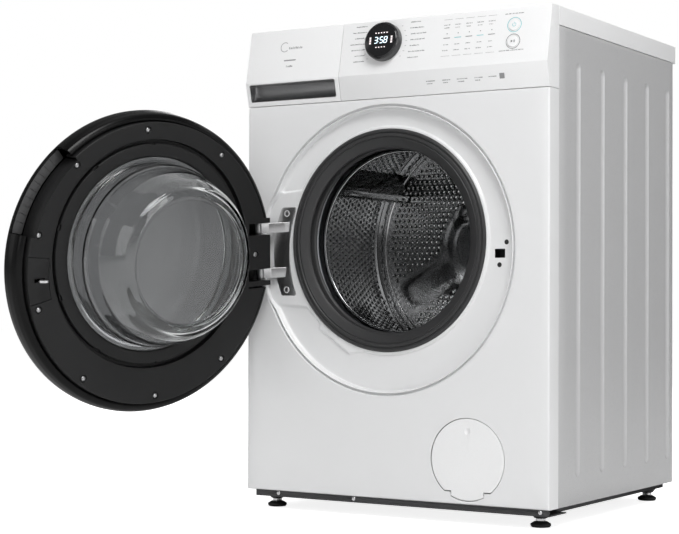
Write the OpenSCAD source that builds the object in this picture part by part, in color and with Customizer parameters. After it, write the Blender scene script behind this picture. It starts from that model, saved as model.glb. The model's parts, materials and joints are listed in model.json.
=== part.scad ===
// Front-load washing machine, 595 x 855 mm, built as an assembly of separate parts.
// Origin: centre of the cabinet footprint on the floor. The front faces -Y and +Z is up.
// Everything on the door is drawn closed and then swung open about the hinge.

/* [Cabinet] */
// Width of the cabinet
cab_w = 595; // [590:1:605]
// Depth from the front panel to the rear panel
cab_d = 546; // [540:1:560]
// Height from the floor to the worktop
total_h = 855; // [850:1:865]
// Height of the cabinet's lower edge above the floor
base_z = 33; // [32:1:34]
// Steel sheet thickness
sheet = 1; // [0.8:0.1:1.2]
// Number of stiffening grooves pressed in each side panel
groove_count = 5; // [3:1:5]

/* [Control panel] */
// Height of the fascia's lower edge
fascia_z = 719; // [717:1:720]
// Height of the crease between the slanted face and the lower strip
crease_z = 760; // [757:1:764]
// How far the crease stands in front of the cabinet
crease_out = 9.5; // [8:0.5:11]
// X position of the joint between drawer front and fascia
drawer_split_x = -101; // [-104:1:-99]
// Radius of the programme dial
dial_r = 34; // [33:0.5:36]

/* [Door] */
// X position of the door, gasket and drum axis
axis_x = -14; // [-16:1:-12]
// Height of the door's centre
door_z = 458.5; // [456:0.5:460]
// Height of the drum axis
drum_z = 475; // [473:1:477]
// Outer radius of the door
door_r = 256; // [248:0.5:256]
// Door opening angle of the rest pose, in degrees
door_open = 109; // [0:1:120]
// Forward lean of the door's hinge axis from vertical, in degrees
door_lean = 6; // [0:0.5:8]

/* [Drum] */
// Inner radius of the wash drum
drum_r = 238; // [230:1:240]
// Outer radius of the plastic tub
tub_r = 255; // [253:1:257]
// Number of lifters in the drum
lifter_count = 3; // [3:1:4]

/* [Hidden] */
$fn = 96;

half_w = cab_w / 2;
front_y = -cab_d / 2;
rear_y = cab_d / 2;
lid_z = total_h - 31;          // lower edge of the worktop's skirt
lid_back_y = rear_y + 18;      // rear edge of the worktop
wrap_y = front_y + 36;         // where front panel and fascia meet the side panels
fascia_top_y = front_y + 9;    // top edge of the slanted fascia
crease_y = front_y - crease_out;
slant = atan((fascia_top_y - crease_y) / (total_h - crease_z));

// Front panel pressing
recess_r = 251;
recess_depth = 13;
recess_rim = 7;                // width of the rolled rim round the recess
recess_y = front_y + recess_depth;
mouth_r = 186;

// Controls on the slanted face
dial_x = -13;
dial_z = 814;
dial_h = 15;
button_x = 232.5;
power_z = 824.5;
start_z = 796.5;
button_r = 10;
button_gap = 0.4;
stem_r = 22;

// Hinge
hinge_x = axis_x - 242;
hinge_y = front_y - 24;
arm_z = 40;                    // arms above and below the door's centre
arm_h = 18;
knuckle_r = 6.5;
pin_r = 3;
pin_play = 0.06;

// Door, drawn closed
door_in_y = recess_y - 6;      // plane of the inner frame
door_out_y = door_in_y - 58;   // outer face
frame_r = 242;
frame_back_y = door_in_y - 12;
groove_r = 190;
glass_rim_r = 166;
clamp_r = 185.5;
pocket_y = hinge_y - 11;       // floor of the hinge pocket
pocket_half = 62;
grip_from = 11.5;              // handle, degrees above the free side
grip_to = 55;
grip_r = 230;                  // inner radius of the finger pocket
lip_y = door_in_y - 40;
latch_x = axis_x + 216;
latch_z = door_z - 8.5;
screw_angles = [16.5, 50, 87.5, 128, -128, -90.5, -52.5, -14.5];
screw_ring_r = 225;

// Filter flap
flap_x = 149;
flap_z = 107.5;
flap_r = 68.4;
flap_t = 2.4;
flap_edge = 1.5;
flap_pin_r = 1.5;
flap_pin_z = flap_z - 58;
flap_pin_y = front_y + 4.4;
cap_r = 28;
cup_depth = 34;

// Feet
foot_x = 262;
foot_front_y = front_y + 45;
foot_rear_y = rear_y - 40;
foot_pad_r = 17;
foot_pad_h = 9;
stud_r = 5;
boss_z = 15;

// Tub and drum
tub_front_y = -222;
tub_back_y = 150;
tub_wall = 5;
tub_joint_y = -200;
drum_front_y = -205;
drum_back_y = 105;
drum_mouth_r = 155;
shaft_r = 15;
bearing_r = 31;
hub_back_y = 202;
belt_y = 212;                  // middle of the belt
belt_w = 12;
pulley_r = 140;
motor_x = 110;
motor_z = 165;
motor_pulley_r = 10;
belt_t = 4;
belt_gap = 0.3;

// Suspension
spring_x = 190;
spring_y = 0;
spring_top_z = 800;
spring_low_z = 664;
damper_x = 150;
damper_y = -30;
damper_top_z = 180;

// ---------- shared shapes ----------

// Points along a flat arc
function arc(r, a0, a1, steps, at = [0, 0]) =
    [for (i = [0:steps]) at + r * [cos(a0 + (a1 - a0) * i / steps), sin(a0 + (a1 - a0) * i / steps)]];

// A body of revolution about the Y axis. Points are [radius, y].
module turned(cx, cz, points, fn = 128) {
    translate([cx, 0, cz]) rotate([-90, 0, 0]) rotate_extrude($fn = fn) polygon(points);
}

module cyl_y(cx, cz, r, y0, y1, fn = 96) {
    translate([cx, y0, cz]) rotate([-90, 0, 0]) cylinder(r = r, h = y1 - y0, $fn = fn);
}

module ring_y(cx, cz, r_out, r_in, y0, y1, fn = 128) {
    difference() {
        cyl_y(cx, cz, r_out, y0, y1, fn);
        cyl_y(cx, cz, r_in, y0 - 1, y1 + 1, fn);
    }
}

module box(x0, x1, y0, y1, z0, z1) {
    translate([x0, y0, z0]) cube([x1 - x0, y1 - y0, z1 - z0]);
}

// A box without its lid side removed: walls of thickness t, open at the face named by open_y.
module open_box(x0, x1, y0, y1, z0, z1, t) {
    difference() {
        box(x0, x1, y0, y1, z0, z1);
        box(x0 + t, x1 - t, y0 - 1, y1 - t, z0 + t, z1 - t);
    }
}

// A flat plate with rounded corners in the XZ plane
module round_plate(x0, x1, z0, z1, r, y0, y1) {
    translate([0, y1, 0]) rotate([90, 0, 0]) linear_extrude(y1 - y0) union() {
        translate([x0 + r, z0]) square([x1 - x0 - 2 * r, z1 - z0]);
        translate([x0, z0 + r]) square([x1 - x0, z1 - z0 - 2 * r]);
        for (x = [x0 + r, x1 - r], z = [z0 + r, z1 - r]) translate([x, z]) circle(r, $fn = 32);
    }
}

// A wedge of a disc about a Y axis, from angle a0 to a1, used to cut sectors
module sector_y(cx, cz, r, a0, a1, y0, y1) {
    steps = max(2, ceil((a1 - a0) / 30));
    da = (a1 - a0) / steps;
    far = r / cos(da / 2);
    translate([cx, y1, cz]) rotate([90, 0, 0]) linear_extrude(y1 - y0)
        polygon(concat([[0, 0]], [for (i = [0:steps]) far * [cos(a0 + i * da), sin(a0 + i * da)]]));
}

// Children drawn in the slanted face's own frame: origin on the face at height z, +Z out of it
module on_slant(x, z) {
    y = crease_y + (z - crease_z) * tan(slant);
    translate([x, y, z]) rotate([90 - slant, 0, 0]) children();
}

// Swings the door, drawn closed, to its rest pose
module swung() {
    translate([hinge_x, hinge_y, door_z]) rotate([door_lean, 0, 0]) rotate([0, 0, -door_open])
        rotate([-door_lean, 0, 0]) translate([-hinge_x, -hinge_y, -door_z]) children();
}

// Puts children on the leaning hinge axis, with the origin at mid-height
module on_pin() {
    translate([hinge_x, hinge_y, door_z]) rotate([door_lean, 0, 0]) children();
}

module screw_y(x, z, y_seat, r_head, h_head, r_shank, length) {
    cyl_y(x, z, r_head, y_seat - h_head, y_seat, 32);
    cyl_y(x, z, r_shank, y_seat, y_seat + length, 24);
}

// ---------- cabinet ----------

groove_ball = 18;
groove_out = 15;
groove_z0 = 78;
groove_z1 = 770;
groove_pitch = 101;
groove_first_y = front_y + 112;

module groove_solid(y, r) {
    cx = half_w + groove_out;
    translate([cx, y, groove_z0 + 10]) cylinder(r = r, h = groove_z1 - groove_z0 - 20, $fn = 64);
    for (z = [groove_z0 + 10, groove_z1 - 10]) translate([cx, y, z]) sphere(r = r, $fn = 64);
}

module side_panel() {
    color("whitesmoke") difference() {
        union() {
            box(half_w - sheet, half_w, wrap_y + 0.6, rear_y - sheet, base_z, lid_z - 1);
            // rear flange behind which the rear panel sits
            box(half_w - 18, half_w - sheet, rear_y - 2 * sheet - 0.2, rear_y - sheet - 0.2, base_z,
                lid_z - 1);
            // joggled front flange inside the front panel's return
            box(half_w - 2.2, half_w - 1.1, wrap_y - 12, wrap_y + 1, base_z + 2, fascia_z - 4);
            box(half_w - 2.2, half_w - 0.5, wrap_y + 1, wrap_y + 6, base_z + 2, fascia_z - 4);
            intersection() {
                union() for (i = [0:groove_count - 1]) groove_solid(groove_first_y + i * groove_pitch,
                    groove_ball + sheet);
                box(half_w - 12, half_w - sheet / 2, front_y, rear_y - 3, base_z, lid_z);
            }
        }
        for (i = [0:groove_count - 1]) groove_solid(groove_first_y + i * groove_pitch, groove_ball);
    }
}

module side_panel_right() { side_panel(); }
module side_panel_left() { mirror([1, 0, 0]) side_panel(); }

module front_panel() {
    top = fascia_z - 1;
    color("white") difference() {
        union() {
            difference() {
                box(-half_w, half_w, front_y, front_y + sheet, base_z, top);
                cyl_y(axis_x, door_z, recess_r + recess_rim, front_y - 1, front_y + 5, 180);
            }
            for (s = [-1, 1]) box(min(s * half_w, s * (half_w - sheet)), max(s * half_w,
                s * (half_w - sheet)),
                front_y, wrap_y, base_z, top);
            box(-half_w, half_w, front_y, front_y + 22, base_z, base_z + sheet);
            box(-half_w, half_w, front_y, front_y + 22, top - sheet, top);
        }
        // round hole for the filter flap
        cyl_y(flap_x, flap_z, flap_r + 1.6, front_y - 1, front_y + 3, 128);
    }
}

// Pressed dish behind the door, with the mouth that holds the gasket
module door_recess() {
    color("white") difference() {
        union() {
            turned(axis_x, door_z, [
                [recess_r + recess_rim, front_y], [recess_r + recess_rim, front_y + sheet],
                [recess_r + 4.6, front_y + sheet + 0.6],
                [recess_r + 2, front_y + 4.2], [recess_r + 1, front_y + 9], [recess_r - 2.4,
                    recess_y - 0.3],
                [recess_r - 8, recess_y + sheet], [0, recess_y + sheet],
                [0, recess_y], [recess_r - 8, recess_y], [recess_r - 3, recess_y - 1.2],
                [recess_r, front_y + 8.5], [recess_r + 1, front_y + 3.6], [recess_r + 4, front_y + 0.6]],
                    180);
            // collar that carries the gasket's lip
            ring_y(axis_x, drum_z, mouth_r + 1.5, mouth_r - 1, recess_y + sheet / 2, recess_y + 6, 160);
        }
        cyl_y(axis_x, drum_z, mouth_r, recess_y - 4, recess_y + 20, 160);
        // latch slot and its two fixing holes
        box(latch_x - 9.5, latch_x + 9.5, recess_y - 3, recess_y + 4, latch_z - 7.5, latch_z + 7.5);
        for (p = [[12, 18.5], [-1, -19]]) cyl_y(latch_x + p[0], latch_z + p[1], 3.2, recess_y - 3,
            recess_y + 4, 32);
        // hinge fixing holes
        for (s = [-1, 1]) cyl_y(hinge_x + 44, door_z + s * 68, 2.6, recess_y - 3, recess_y + 4, 32);
    }
}

rear_hole_r = 196;

module rear_panel() {
    color("gainsboro") difference() {
        union() {
            box(-half_w + 1.2, half_w - 1.2, rear_y - sheet, rear_y, base_z, lid_z - 1);
            // shallow stiffening frame around the access hole
            ring_y(axis_x, drum_z, rear_hole_r + 24, rear_hole_r + 16, rear_y, rear_y + 1.5);
            for (x = [-230, 215]) box(x - 26, x + 26, rear_y, rear_y + 1.5, 190, 194);
        }
        cyl_y(axis_x, drum_z, rear_hole_r - 8, rear_y - 5, rear_y + 5, 128);
        cyl_y(-230, 775, 14.5, rear_y - 5, rear_y + 5, 48);
        cyl_y(200, 110, 13, rear_y - 5, rear_y + 5, 48);
        cyl_y(235, 775, 9.2, rear_y - 5, rear_y + 5, 48);
        for (x = [-215, 200], z = [300, 640]) cyl_y(x, z, 9, rear_y - 5, rear_y + 5, 32);
        for (x = [-220, 220]) cyl_y(x, lid_z - 12, 2.2, rear_y - 5, rear_y + 5, 32);
    }
}

module rear_cover() {
    color("gainsboro") difference() {
        turned(axis_x, drum_z, [[0, rear_y + 8], [150, rear_y + 8], [172, rear_y + 2.4],
            [rear_hole_r + 4, rear_y + 1.2],
            [rear_hole_r + 4, rear_y + 0.1], [172, rear_y + 1.2], [150, rear_y + 6.8], [0, rear_y + 6.8]]);
        for (i = [0:5]) cyl_y(axis_x + (rear_hole_r - 2) * cos(30 + 60 * i),
            drum_z + (rear_hole_r - 2) * sin(30 + 60 * i),
            2.4, rear_y - 2, rear_y + 5, 24);
    }
}

module top_cover() {
    skirt = 4;
    color("white") difference() {
        box(-half_w, half_w, wrap_y + 0.6, lid_back_y, lid_z, total_h);
        box(-half_w + skirt, half_w - skirt, wrap_y - 5, lid_back_y - skirt, lid_z - 1, total_h - 16);
    }
}

module base_frame() {
    color("dimgray") difference() {
        union() {
            box(-half_w + 18, half_w - 1, front_y + 3, front_y + 70, 22, 24);
            box(-half_w + 18, half_w - 1, front_y + 3, front_y + 5, 22, base_z - 0.2);
            box(-half_w + 18, half_w - 18, rear_y - 72, rear_y - 4, 22, 24);
            box(-half_w + 18, half_w - 18, rear_y - 6, rear_y - 4, 22, base_z + 8);
            for (s = [-1, 1]) {
                box(min(s * 226, s * (half_w - 18)), max(s * 226, s * (half_w - 18)), front_y + 5,
                    rear_y - 6, 22, 24);
                box(min(s * (half_w - 20), s * (half_w - 18)), max(s * (half_w - 20), s * (half_w - 18)),
                    front_y + 23, rear_y - 6, 24, base_z + 8);
            }
            for (x = [-foot_x, foot_x], y = [foot_front_y, foot_rear_y])
                translate([x, y, boss_z]) cylinder(r1 = 11, r2 = 17, h = 8, $fn = 48);
            for (x = [-foot_x, foot_x], y = [foot_front_y, foot_rear_y])
                translate([x, y, 23]) cylinder(r = 12, h = 16, $fn = 48);
            // seats for the dampers
            for (s = [-1, 1]) box(axis_x + s * damper_x - 16, axis_x + s * damper_x + 16, damper_y - 16,
                damper_y + 16, 24, 40);
            box(-226, 226, damper_y - 20, damper_y + 20, 22, 24);
        }
        for (x = [-foot_x, foot_x], y = [foot_front_y, foot_rear_y])
            translate([x, y, 0]) cylinder(r = stud_r + pin_play, h = 80, $fn = 48);
        for (x = [-231, -74, 281]) cyl_y(x, 28.4, 2.2, front_y, front_y + 8, 24);
    }
}

module cabinet_screws() {
    color("silver") {
        for (s = [-1, 1]) screw_y(hinge_x + 44, door_z + s * 68, recess_y - 3, 4.6, 2.4, 2.4, 12);
        for (x = [-231, -74, 281]) screw_y(x, 28.4, front_y + 3, 3.6, 1.8, 2, 9);
        // rear cover
        for (i = [0:5]) mirror([0, 1, 0]) screw_y(axis_x + (rear_hole_r - 2) * cos(30 + 60 * i),
            drum_z + (rear_hole_r - 2) * sin(30 + 60 * i), -rear_y - 1.8, 4.2, 2, 2.1, 1.4);
        // worktop, from the rear
        for (x = [-220, 220]) mirror([0, 1, 0]) screw_y(x, lid_z - 12, -rear_y, 4.2, 2.2, 2, 0.6);
    }
}

// ---------- control panel ----------

function fascia_outline(top, low) = [[fascia_top_y, top], [crease_y, crease_z], [front_y, low],
    [wrap_y, low], [wrap_y, top]];

// Extrudes a profile of [y, z] points along X
module along_x(x0, x1, points) {
    translate([x0, 0, 0]) rotate([90, 0, 90]) linear_extrude(x1 - x0) polygon(points);
}

module fascia_hollow(x0, x1, t) {
    along_x(x0, x1, [[fascia_top_y + t + 0.6, total_h - t], [crease_y + t + 0.1, crease_z - 0.3],
        [front_y + t, fascia_z + t], [wrap_y + 1, fascia_z + t], [wrap_y + 1, total_h - t]]);
}

module control_fascia() {
    t = 3;
    back_y = front_y + 15;     // front of the frame behind the drawer front
    color("white") difference() {
        union() {
            difference() {
                along_x(drawer_split_x + 0.5, half_w, fascia_outline(total_h, fascia_z));
                fascia_hollow(drawer_split_x + 3.5, half_w - t, t);
            }
            // frame behind the drawer front
            box(-half_w, drawer_split_x + 1, back_y, wrap_y, fascia_z, total_h);
        }
        box(-half_w + 3, -107, back_y - 1, wrap_y + 1, 729, 803);
        box(-half_w + 3, -107, back_y - 1, wrap_y + 1, 808, total_h - 3);
        on_slant(dial_x, dial_z) translate([0, 0, -8]) cylinder(r = stem_r + 0.5, h = 12, $fn = 96);
        for (z = [power_z, start_z]) on_slant(button_x, z)
            translate([0, 0, -8]) cylinder(r = button_r + button_gap, h = 12, $fn = 64);
    }
}

module selector_knob() {
    lens_seat = dial_h - 6.5;
    color([0.05, 0.05, 0.06]) on_slant(dial_x, dial_z) difference() {
        union() {
            translate([0, 0, 0.4]) cylinder(r = dial_r, h = dial_h - 2.4, $fn = 128);
            translate([0, 0, dial_h - 2]) cylinder(r1 = dial_r, r2 = dial_r - 2, h = 2, $fn = 128);
        }
        translate([0, 0, -1]) cylinder(r = stem_r + 0.4, h = dial_h + 4, $fn = 96);
        translate([0, 0, lens_seat]) cylinder(r = dial_r - 3.4, h = dial_h, $fn = 128);
    }
}

module display_lens() {
    color([0.02, 0.02, 0.03]) on_slant(dial_x, dial_z) {
        translate([0, 0, -4]) cylinder(r = stem_r, h = dial_h - 2, $fn = 96);
        translate([0, 0, dial_h - 6]) cylinder(r = dial_r - 3.8, h = 5.4, $fn = 128);
    }
}

module push_button(z) {
    color("white") on_slant(button_x, z) translate([0, 0, -5]) cylinder(r = button_r, h = 5.8, $fn = 64);
}

module power_button() { push_button(power_z); }
module start_button() { push_button(start_z); }

module control_board() {
    color("darkgreen") {
        open_box(-40, 270, front_y + 18, front_y + 60, 752, 786, 2);
        box(-38, 268, front_y + 26, front_y + 28, 754, 784);
    }
}

// ---------- detergent drawer ----------

housing_x0 = -293;
housing_x1 = -109;

module drawer_housing() {
    color("whitesmoke") {
        difference() {
            box(housing_x0, housing_x1, wrap_y - 12, -24, 731, 801);
            box(housing_x0 + 2, housing_x1 - 2, wrap_y - 14, -26, 733, 799);
            // outlet to the tub
            translate([-150, -60, 725]) cylinder(r = 14, h = 12, $fn = 48);
        }
        // water plate under the lid
        box(housing_x0 + 2, housing_x1 - 2, wrap_y, -26, 797, 799);
    }
}

module drawer_front() {
    x0 = -half_w;
    x1 = drawer_split_x - 0.5;
    back_y = front_y + 14.5;
    rx0 = x0 + 7;
    rx1 = x1 - 8;
    scoop_r = 21;
    color("white") difference() {
        union() {
            difference() {
                along_x(x0, x1, [[fascia_top_y, total_h], [crease_y, crease_z], [front_y, fascia_z],
                    [back_y, fascia_z], [back_y, total_h]]);
                along_x(x0 + 3, x1 - 3, [[fascia_top_y + 3.6, total_h - 3], [crease_y + 3.1,
                    crease_z + 2.5],
                    [back_y + 1, crease_z + 2.5], [back_y + 1, total_h - 3]]);
            }
        }
        // finger scoop under the crease
        along_x(rx0, rx1, concat(arc(scoop_r, -80, 0, 20, [back_y - 2.5 - scoop_r, 725.5 + scoop_r]),
            [[back_y - 2.5, 757.5], [crease_y - 8, 757.5], [crease_y - 8, 720]]));
    }
}

module drawer_tray() {
    x0 = housing_x0 + 4;
    x1 = housing_x1 - 4;
    y0 = front_y + 14.5;
    y1 = -32;
    color("whitesmoke") difference() {
        union() {
            box(x0, x1, y0, y1, 735, 783);
            // flange that carries the drawer front
            box(x0, x1, y0, y0 + 3, 735, 795);
        }
        box(x0 + 2, -232, y0 + 4, y1 - 2, 738, 800);
        box(-230, -172, y0 + 4, y1 - 80, 738, 800);
        box(-230, -172, y1 - 78, y1 - 2, 738, 800);
        box(-170, x1 - 2, y0 + 4, y1 - 2, 738, 800);
        // rear weir that lets the water out
        box(x0 + 8, x1 - 8, y1 - 3, y1 + 1, 770, 800);
    }
}

// ---------- door, drawn closed ----------

module door_shell() {
    side = door_in_y - 9;      // where the rolled side wall ends
    color([0.04, 0.04, 0.045]) swung() difference() {
        turned(axis_x, door_z, [
            [196, door_out_y + 3], [196, door_out_y], [door_r - 22, door_out_y - 1],
            [door_r - 12, door_out_y + 1], [door_r - 5, door_out_y + 6], [door_r - 1, door_out_y + 14],
            [door_r, door_out_y + 24], [door_r - 0.6, door_out_y + 34],
            [door_r - 3, side - 3], [door_r - 5, side], [door_r - 8, side], [door_r - 6.5, side - 5],
            [door_r - 4.5, door_out_y + 34], [door_r - 4, door_out_y + 24], [door_r - 5, door_out_y + 15],
            [door_r - 8.5, door_out_y + 9], [door_r - 14, door_out_y + 5],
            [door_r - 22, door_out_y + 3.4]], 160);
        // finger pocket: the side wall is cut away and the front lip stays
        intersection() {
            ring_y(axis_x, door_z, door_r + 10, 200, lip_y, door_in_y + 2);
            sector_y(axis_x, door_z, 300, grip_from, grip_to, lip_y - 1, door_in_y + 3);
        }
        // hinge pocket
        box(axis_x - door_r - 10, axis_x - 190, pocket_y, door_in_y + 2, door_z - pocket_half,
            door_z + pocket_half);
    }
}

module door_window() {
    color([0.1, 0.1, 0.12, 0.5]) swung()
        turned(axis_x, door_z, [[0, door_out_y - 5], [100, door_out_y - 4.2], [160, door_out_y - 2.4],
            [195.6, door_out_y],
            [195.6, door_out_y + 3], [160, door_out_y + 0.6], [100, door_out_y - 1.2], [0,
                door_out_y - 2]]);
}

module door_frame() {
    color([0.09, 0.09, 0.09]) swung() difference() {
        union() {
            // flat inner ring with its skirts; the inner edge follows the glass, which sits higher
            difference() {
                cyl_y(axis_x, door_z, frame_r, door_in_y - 3, door_in_y, 180);
                cyl_y(axis_x, drum_z, groove_r + 2, door_in_y - 4, door_in_y + 1, 180);
            }
            ring_y(axis_x, door_z, frame_r, frame_r - 3, frame_back_y - 18, door_in_y - 1, 180);
            ring_y(axis_x, drum_z, groove_r + 5, groove_r + 2, frame_back_y, door_in_y - 1, 180);
            // sunken floor between the ring and the glass
            difference() {
                cyl_y(axis_x, drum_z, groove_r + 5, frame_back_y - 3, frame_back_y, 180);
                cyl_y(axis_x, drum_z, clamp_r + 0.5, frame_back_y - 5, frame_back_y + 3, 180);
            }
            // screw bosses
            for (a = screw_angles) cyl_y(axis_x + screw_ring_r * cos(a), door_z + screw_ring_r * sin(a), 6,
                door_out_y + 8, door_in_y - 1, 32);
            // grip wall behind the finger pocket
            intersection() {
                ring_y(axis_x, door_z, grip_r, grip_r - 3, lip_y, door_in_y - 1, 180);
                sector_y(axis_x, door_z, 300, grip_from - 2, grip_to + 2, lip_y - 1, door_in_y + 1);
            }
            // hinge block between and outside the two arms
            intersection() {
                on_pin() for (z = [[-30.5, 30.5], [50.5, 60], [-60, -50.5]])
                    box(-7, axis_x - 196 - hinge_x, -20, 50, z[0], z[1]);
                box(hinge_x - 12, axis_x - 190, pocket_y + 0.4, door_in_y - 2, door_z - 61, door_z + 61);
            }
        }
        // notch of the finger pocket
        intersection() {
            ring_y(axis_x, door_z, 270, grip_r, lip_y - 2, door_in_y + 2, 180);
            sector_y(axis_x, door_z, 300, grip_from, grip_to, lip_y - 2, door_in_y + 3);
        }
        // clearance for the hinge arms
        on_pin() for (s = [-1, 1])
            box(-18, axis_x - 196 - hinge_x, -12, 50, s * arm_z - 10.4, s * arm_z + 10.4);
        // bores for the hinge pins
        on_pin() translate([0, 0, -70]) cylinder(r = pin_r + 0.01, h = 140, $fn = 48);
        // rounded hinge edge that clears the front panel while the door swings
        on_pin() difference() {
            box(-12, 0, 0, 45, -64, 64);
            translate([0, 0, -65]) cylinder(r = 7, h = 130, $fn = 48);
        }
        // screw seats
        for (a = screw_angles) cyl_y(axis_x + screw_ring_r * cos(a), door_z + screw_ring_r * sin(a), 4.4,
            door_in_y - 1.6, door_in_y + 1, 32);
        // seat of the latch housing
        box(latch_x - 15.3, latch_x + 13.3, door_in_y - 26, door_in_y + 1, latch_z - 28.3, latch_z + 28.3);
        for (a = screw_angles) cyl_y(axis_x + screw_ring_r * cos(a), door_z + screw_ring_r * sin(a), 2.02,
            door_in_y - 16, door_in_y + 1, 24);
        cyl_y(hinge_x + 30, door_z, 4.4, door_in_y - 3.6, door_in_y + 1, 32);
        cyl_y(hinge_x + 30, door_z, 2.02, door_in_y - 16, door_in_y + 1, 32);
    }
}

module glass_clamp_ring() {
    color([0.07, 0.07, 0.07]) swung() difference() {
        turned(axis_x, drum_z, [[glass_rim_r + 2.5, door_in_y - 16], [clamp_r, door_in_y - 16], [clamp_r,
            door_in_y - 6],
            [clamp_r + 0.4, door_in_y - 4], [clamp_r - 0.5, door_in_y - 2.4], [glass_rim_r - 1,
                door_in_y - 1.6], [glass_rim_r - 3, door_in_y - 3.4],
            [glass_rim_r - 3, door_in_y - 5.5], [glass_rim_r + 2.5, door_in_y - 5.5]], 180);
    }
}

// Profile of the glass bowl's outer face, from rim to lens: [radius, depth behind the rim plane]
bowl = [[154, 0], [154, 12], [152.5, 26], [149.5, 44], [145, 62], [139.5, 78], [133, 92], [127, 101],
    [119, 106],
    [104, 109], [60, 110.5]];
glass_y = door_in_y - 1;
glass_t = 5;

module door_glass() {
    color([0.75, 0.8, 0.82, 0.3]) swung() turned(axis_x, drum_z, concat(
        [[glass_rim_r, glass_y - 11], [glass_rim_r, glass_y - 5], [157, glass_y - 5]],
        [for (p = bowl) [p[0], glass_y + p[1]]],
        [[0, glass_y + 111], [0, glass_y + 111 - glass_t]],
        [for (i = [len(bowl) - 1:-1:0]) [bowl[i][0] - glass_t * (i > 8 ? 0.3 : 1),
            glass_y + bowl[i][1] - glass_t * (i > 5 ? 1 : 0.2)]],
        [[149, glass_y - 11]]), 180);
}

module latch_housing() {
    color([0.1, 0.1, 0.1]) swung() difference() {
        box(latch_x - 15, latch_x + 13, door_in_y - 25, door_in_y, latch_z - 28, latch_z + 28);
        box(latch_x - 10, latch_x + 9, door_in_y - 21, door_in_y + 1, latch_z - 3.2, latch_z + 3.2);
        translate([latch_x - 5, door_in_y - 13, latch_z - 8]) cylinder(r = 1.55, h = 16, $fn = 32);
    }
}

module latch_hook() {
    color("silver") swung() {
        difference() {
            union() {
                translate([latch_x - 5, door_in_y - 13, latch_z - 2]) cylinder(r = 4.5, h = 4, $fn = 48);
                box(latch_x - 6.5, latch_x - 1, door_in_y - 13, door_in_y + 15, latch_z - 2, latch_z + 2);
                translate([1, 0, latch_z - 2]) linear_extrude(4) polygon([[latch_x - 7.5, door_in_y + 10],
                    [latch_x + 5, door_in_y + 10], [latch_x + 5.5, door_in_y + 12.5],
                    [latch_x - 2, door_in_y + 19], [latch_x - 7.5, door_in_y + 19]]);
            }
        }
        translate([latch_x - 5, door_in_y - 13, latch_z - 7.8]) cylinder(r = 1.5, h = 15.6, $fn = 32);
    }
}

module door_screws() {
    color("silver") swung() {
        for (a = screw_angles) mirror([0, 1, 0]) screw_y(axis_x + screw_ring_r * cos(a),
            door_z + screw_ring_r * sin(a),
            -door_in_y + 1.6, 4.2, 2.4, 2, 13);
        mirror([0, 1, 0]) screw_y(hinge_x + 30, door_z, -door_in_y + 3.6, 4.2, 2.4, 2, 11);
    }
}

module hinge_pins() {
    color("silver") swung() on_pin() for (s = [-1, 1])
        translate([0, 0, s * arm_z - 19]) cylinder(r = pin_r, h = 38, $fn = 48);
}

module hinge_bracket() {
    plate_x0 = hinge_x + 22;
    color("silver") difference() {
        union() {
            intersection() {
                ring_y(axis_x, drum_z, 236, 196, recess_y - 3, recess_y - 0.05, 160);
                round_plate(axis_x - 240, axis_x - 150, door_z - 78, door_z + 78, 4, recess_y - 4,
                    recess_y);
            }
            intersection() {
                on_pin() for (s = [-1, 1]) translate([0, 0, s * arm_z - arm_h / 2]) {
                    linear_extrude(arm_h) polygon([[-4.5, 4.5], [-1.5, 6.2], [10, 23], [24, 33], [28, 44],
                        [46, 44], [36, 31], [13, 14], [6, 1]]);
                    cylinder(r = knuckle_r, h = arm_h, $fn = 64);
                }
                box(hinge_x - 12, hinge_x + 60, hinge_y - 20, recess_y - 0.1, door_z - 70, door_z + 70);
            }
        }
        on_pin() for (s = [-1, 1]) translate([0, 0, s * arm_z - 20])
            cylinder(r = pin_r + pin_play, h = 40, $fn = 48);
        for (s = [-1, 1]) cyl_y(hinge_x + 44, door_z + s * 68, 2.5, recess_y - 5, recess_y + 2, 32);
    }
}

module door_lock() {
    color([0.15, 0.15, 0.15]) difference() {
        union() {
            box(latch_x - 17, latch_x + 25, recess_y + sheet + 0.05, recess_y + 34, latch_z - 34,
                latch_z + 34);
        }
        box(latch_x - 13.4, latch_x + 9.4, recess_y - 1, recess_y + 26, latch_z - 7.4, latch_z + 7.4);
    }
}

// ---------- gasket ----------

module gasket() {
    y = recess_y;
    color([0.42, 0.42, 0.43]) turned(axis_x, drum_z, [
        [mouth_r + 6.5, y - 2.6], [mouth_r + 5, y - 6], [mouth_r, y - 7.4], [mouth_r - 8, y - 6.4], [163,
            y - 1.5],
        [160, y + 1], [160, y + 4], [163, y + 5.5], [171, y + 5], [174, y + 9], [172, y + 16], [161,
            y + 18], [158, y + 22],
        [161, y + 26], [172, y + 27], [173.3, y + 30], [173.3, y + 37.4], [176.6, y + 37.4], [176.6,
            y + 27],
        [174.5, y + 23.5],
        [163.5, y + 22.5], [163.5, y + 21], [175, y + 19.2], [178, y + 14], [178, y + 7.5], [181, y + 7.5],
        [184.8, y + 7.5], [184.8, y - 0.6], [mouth_r + 6.5, y - 0.3]], 160);
}

// ---------- tub ----------

module tub_front() {
    r = tub_r;
    color("lightsteelblue") turned(axis_x, drum_z, [
        [169, tub_front_y - 7], [173, tub_front_y - 7], [173, tub_front_y], [r - 8, tub_front_y + 2],
            [r, tub_front_y + 12],
        [r, tub_joint_y - 6], [r + 5, tub_joint_y - 6], [r + 5, tub_joint_y - 0.1], [r - tub_wall,
            tub_joint_y - 0.1],
        [r - tub_wall, tub_front_y + 14], [r - 12, tub_front_y + 7], [169, tub_front_y + 5]], 128);
}

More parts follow.
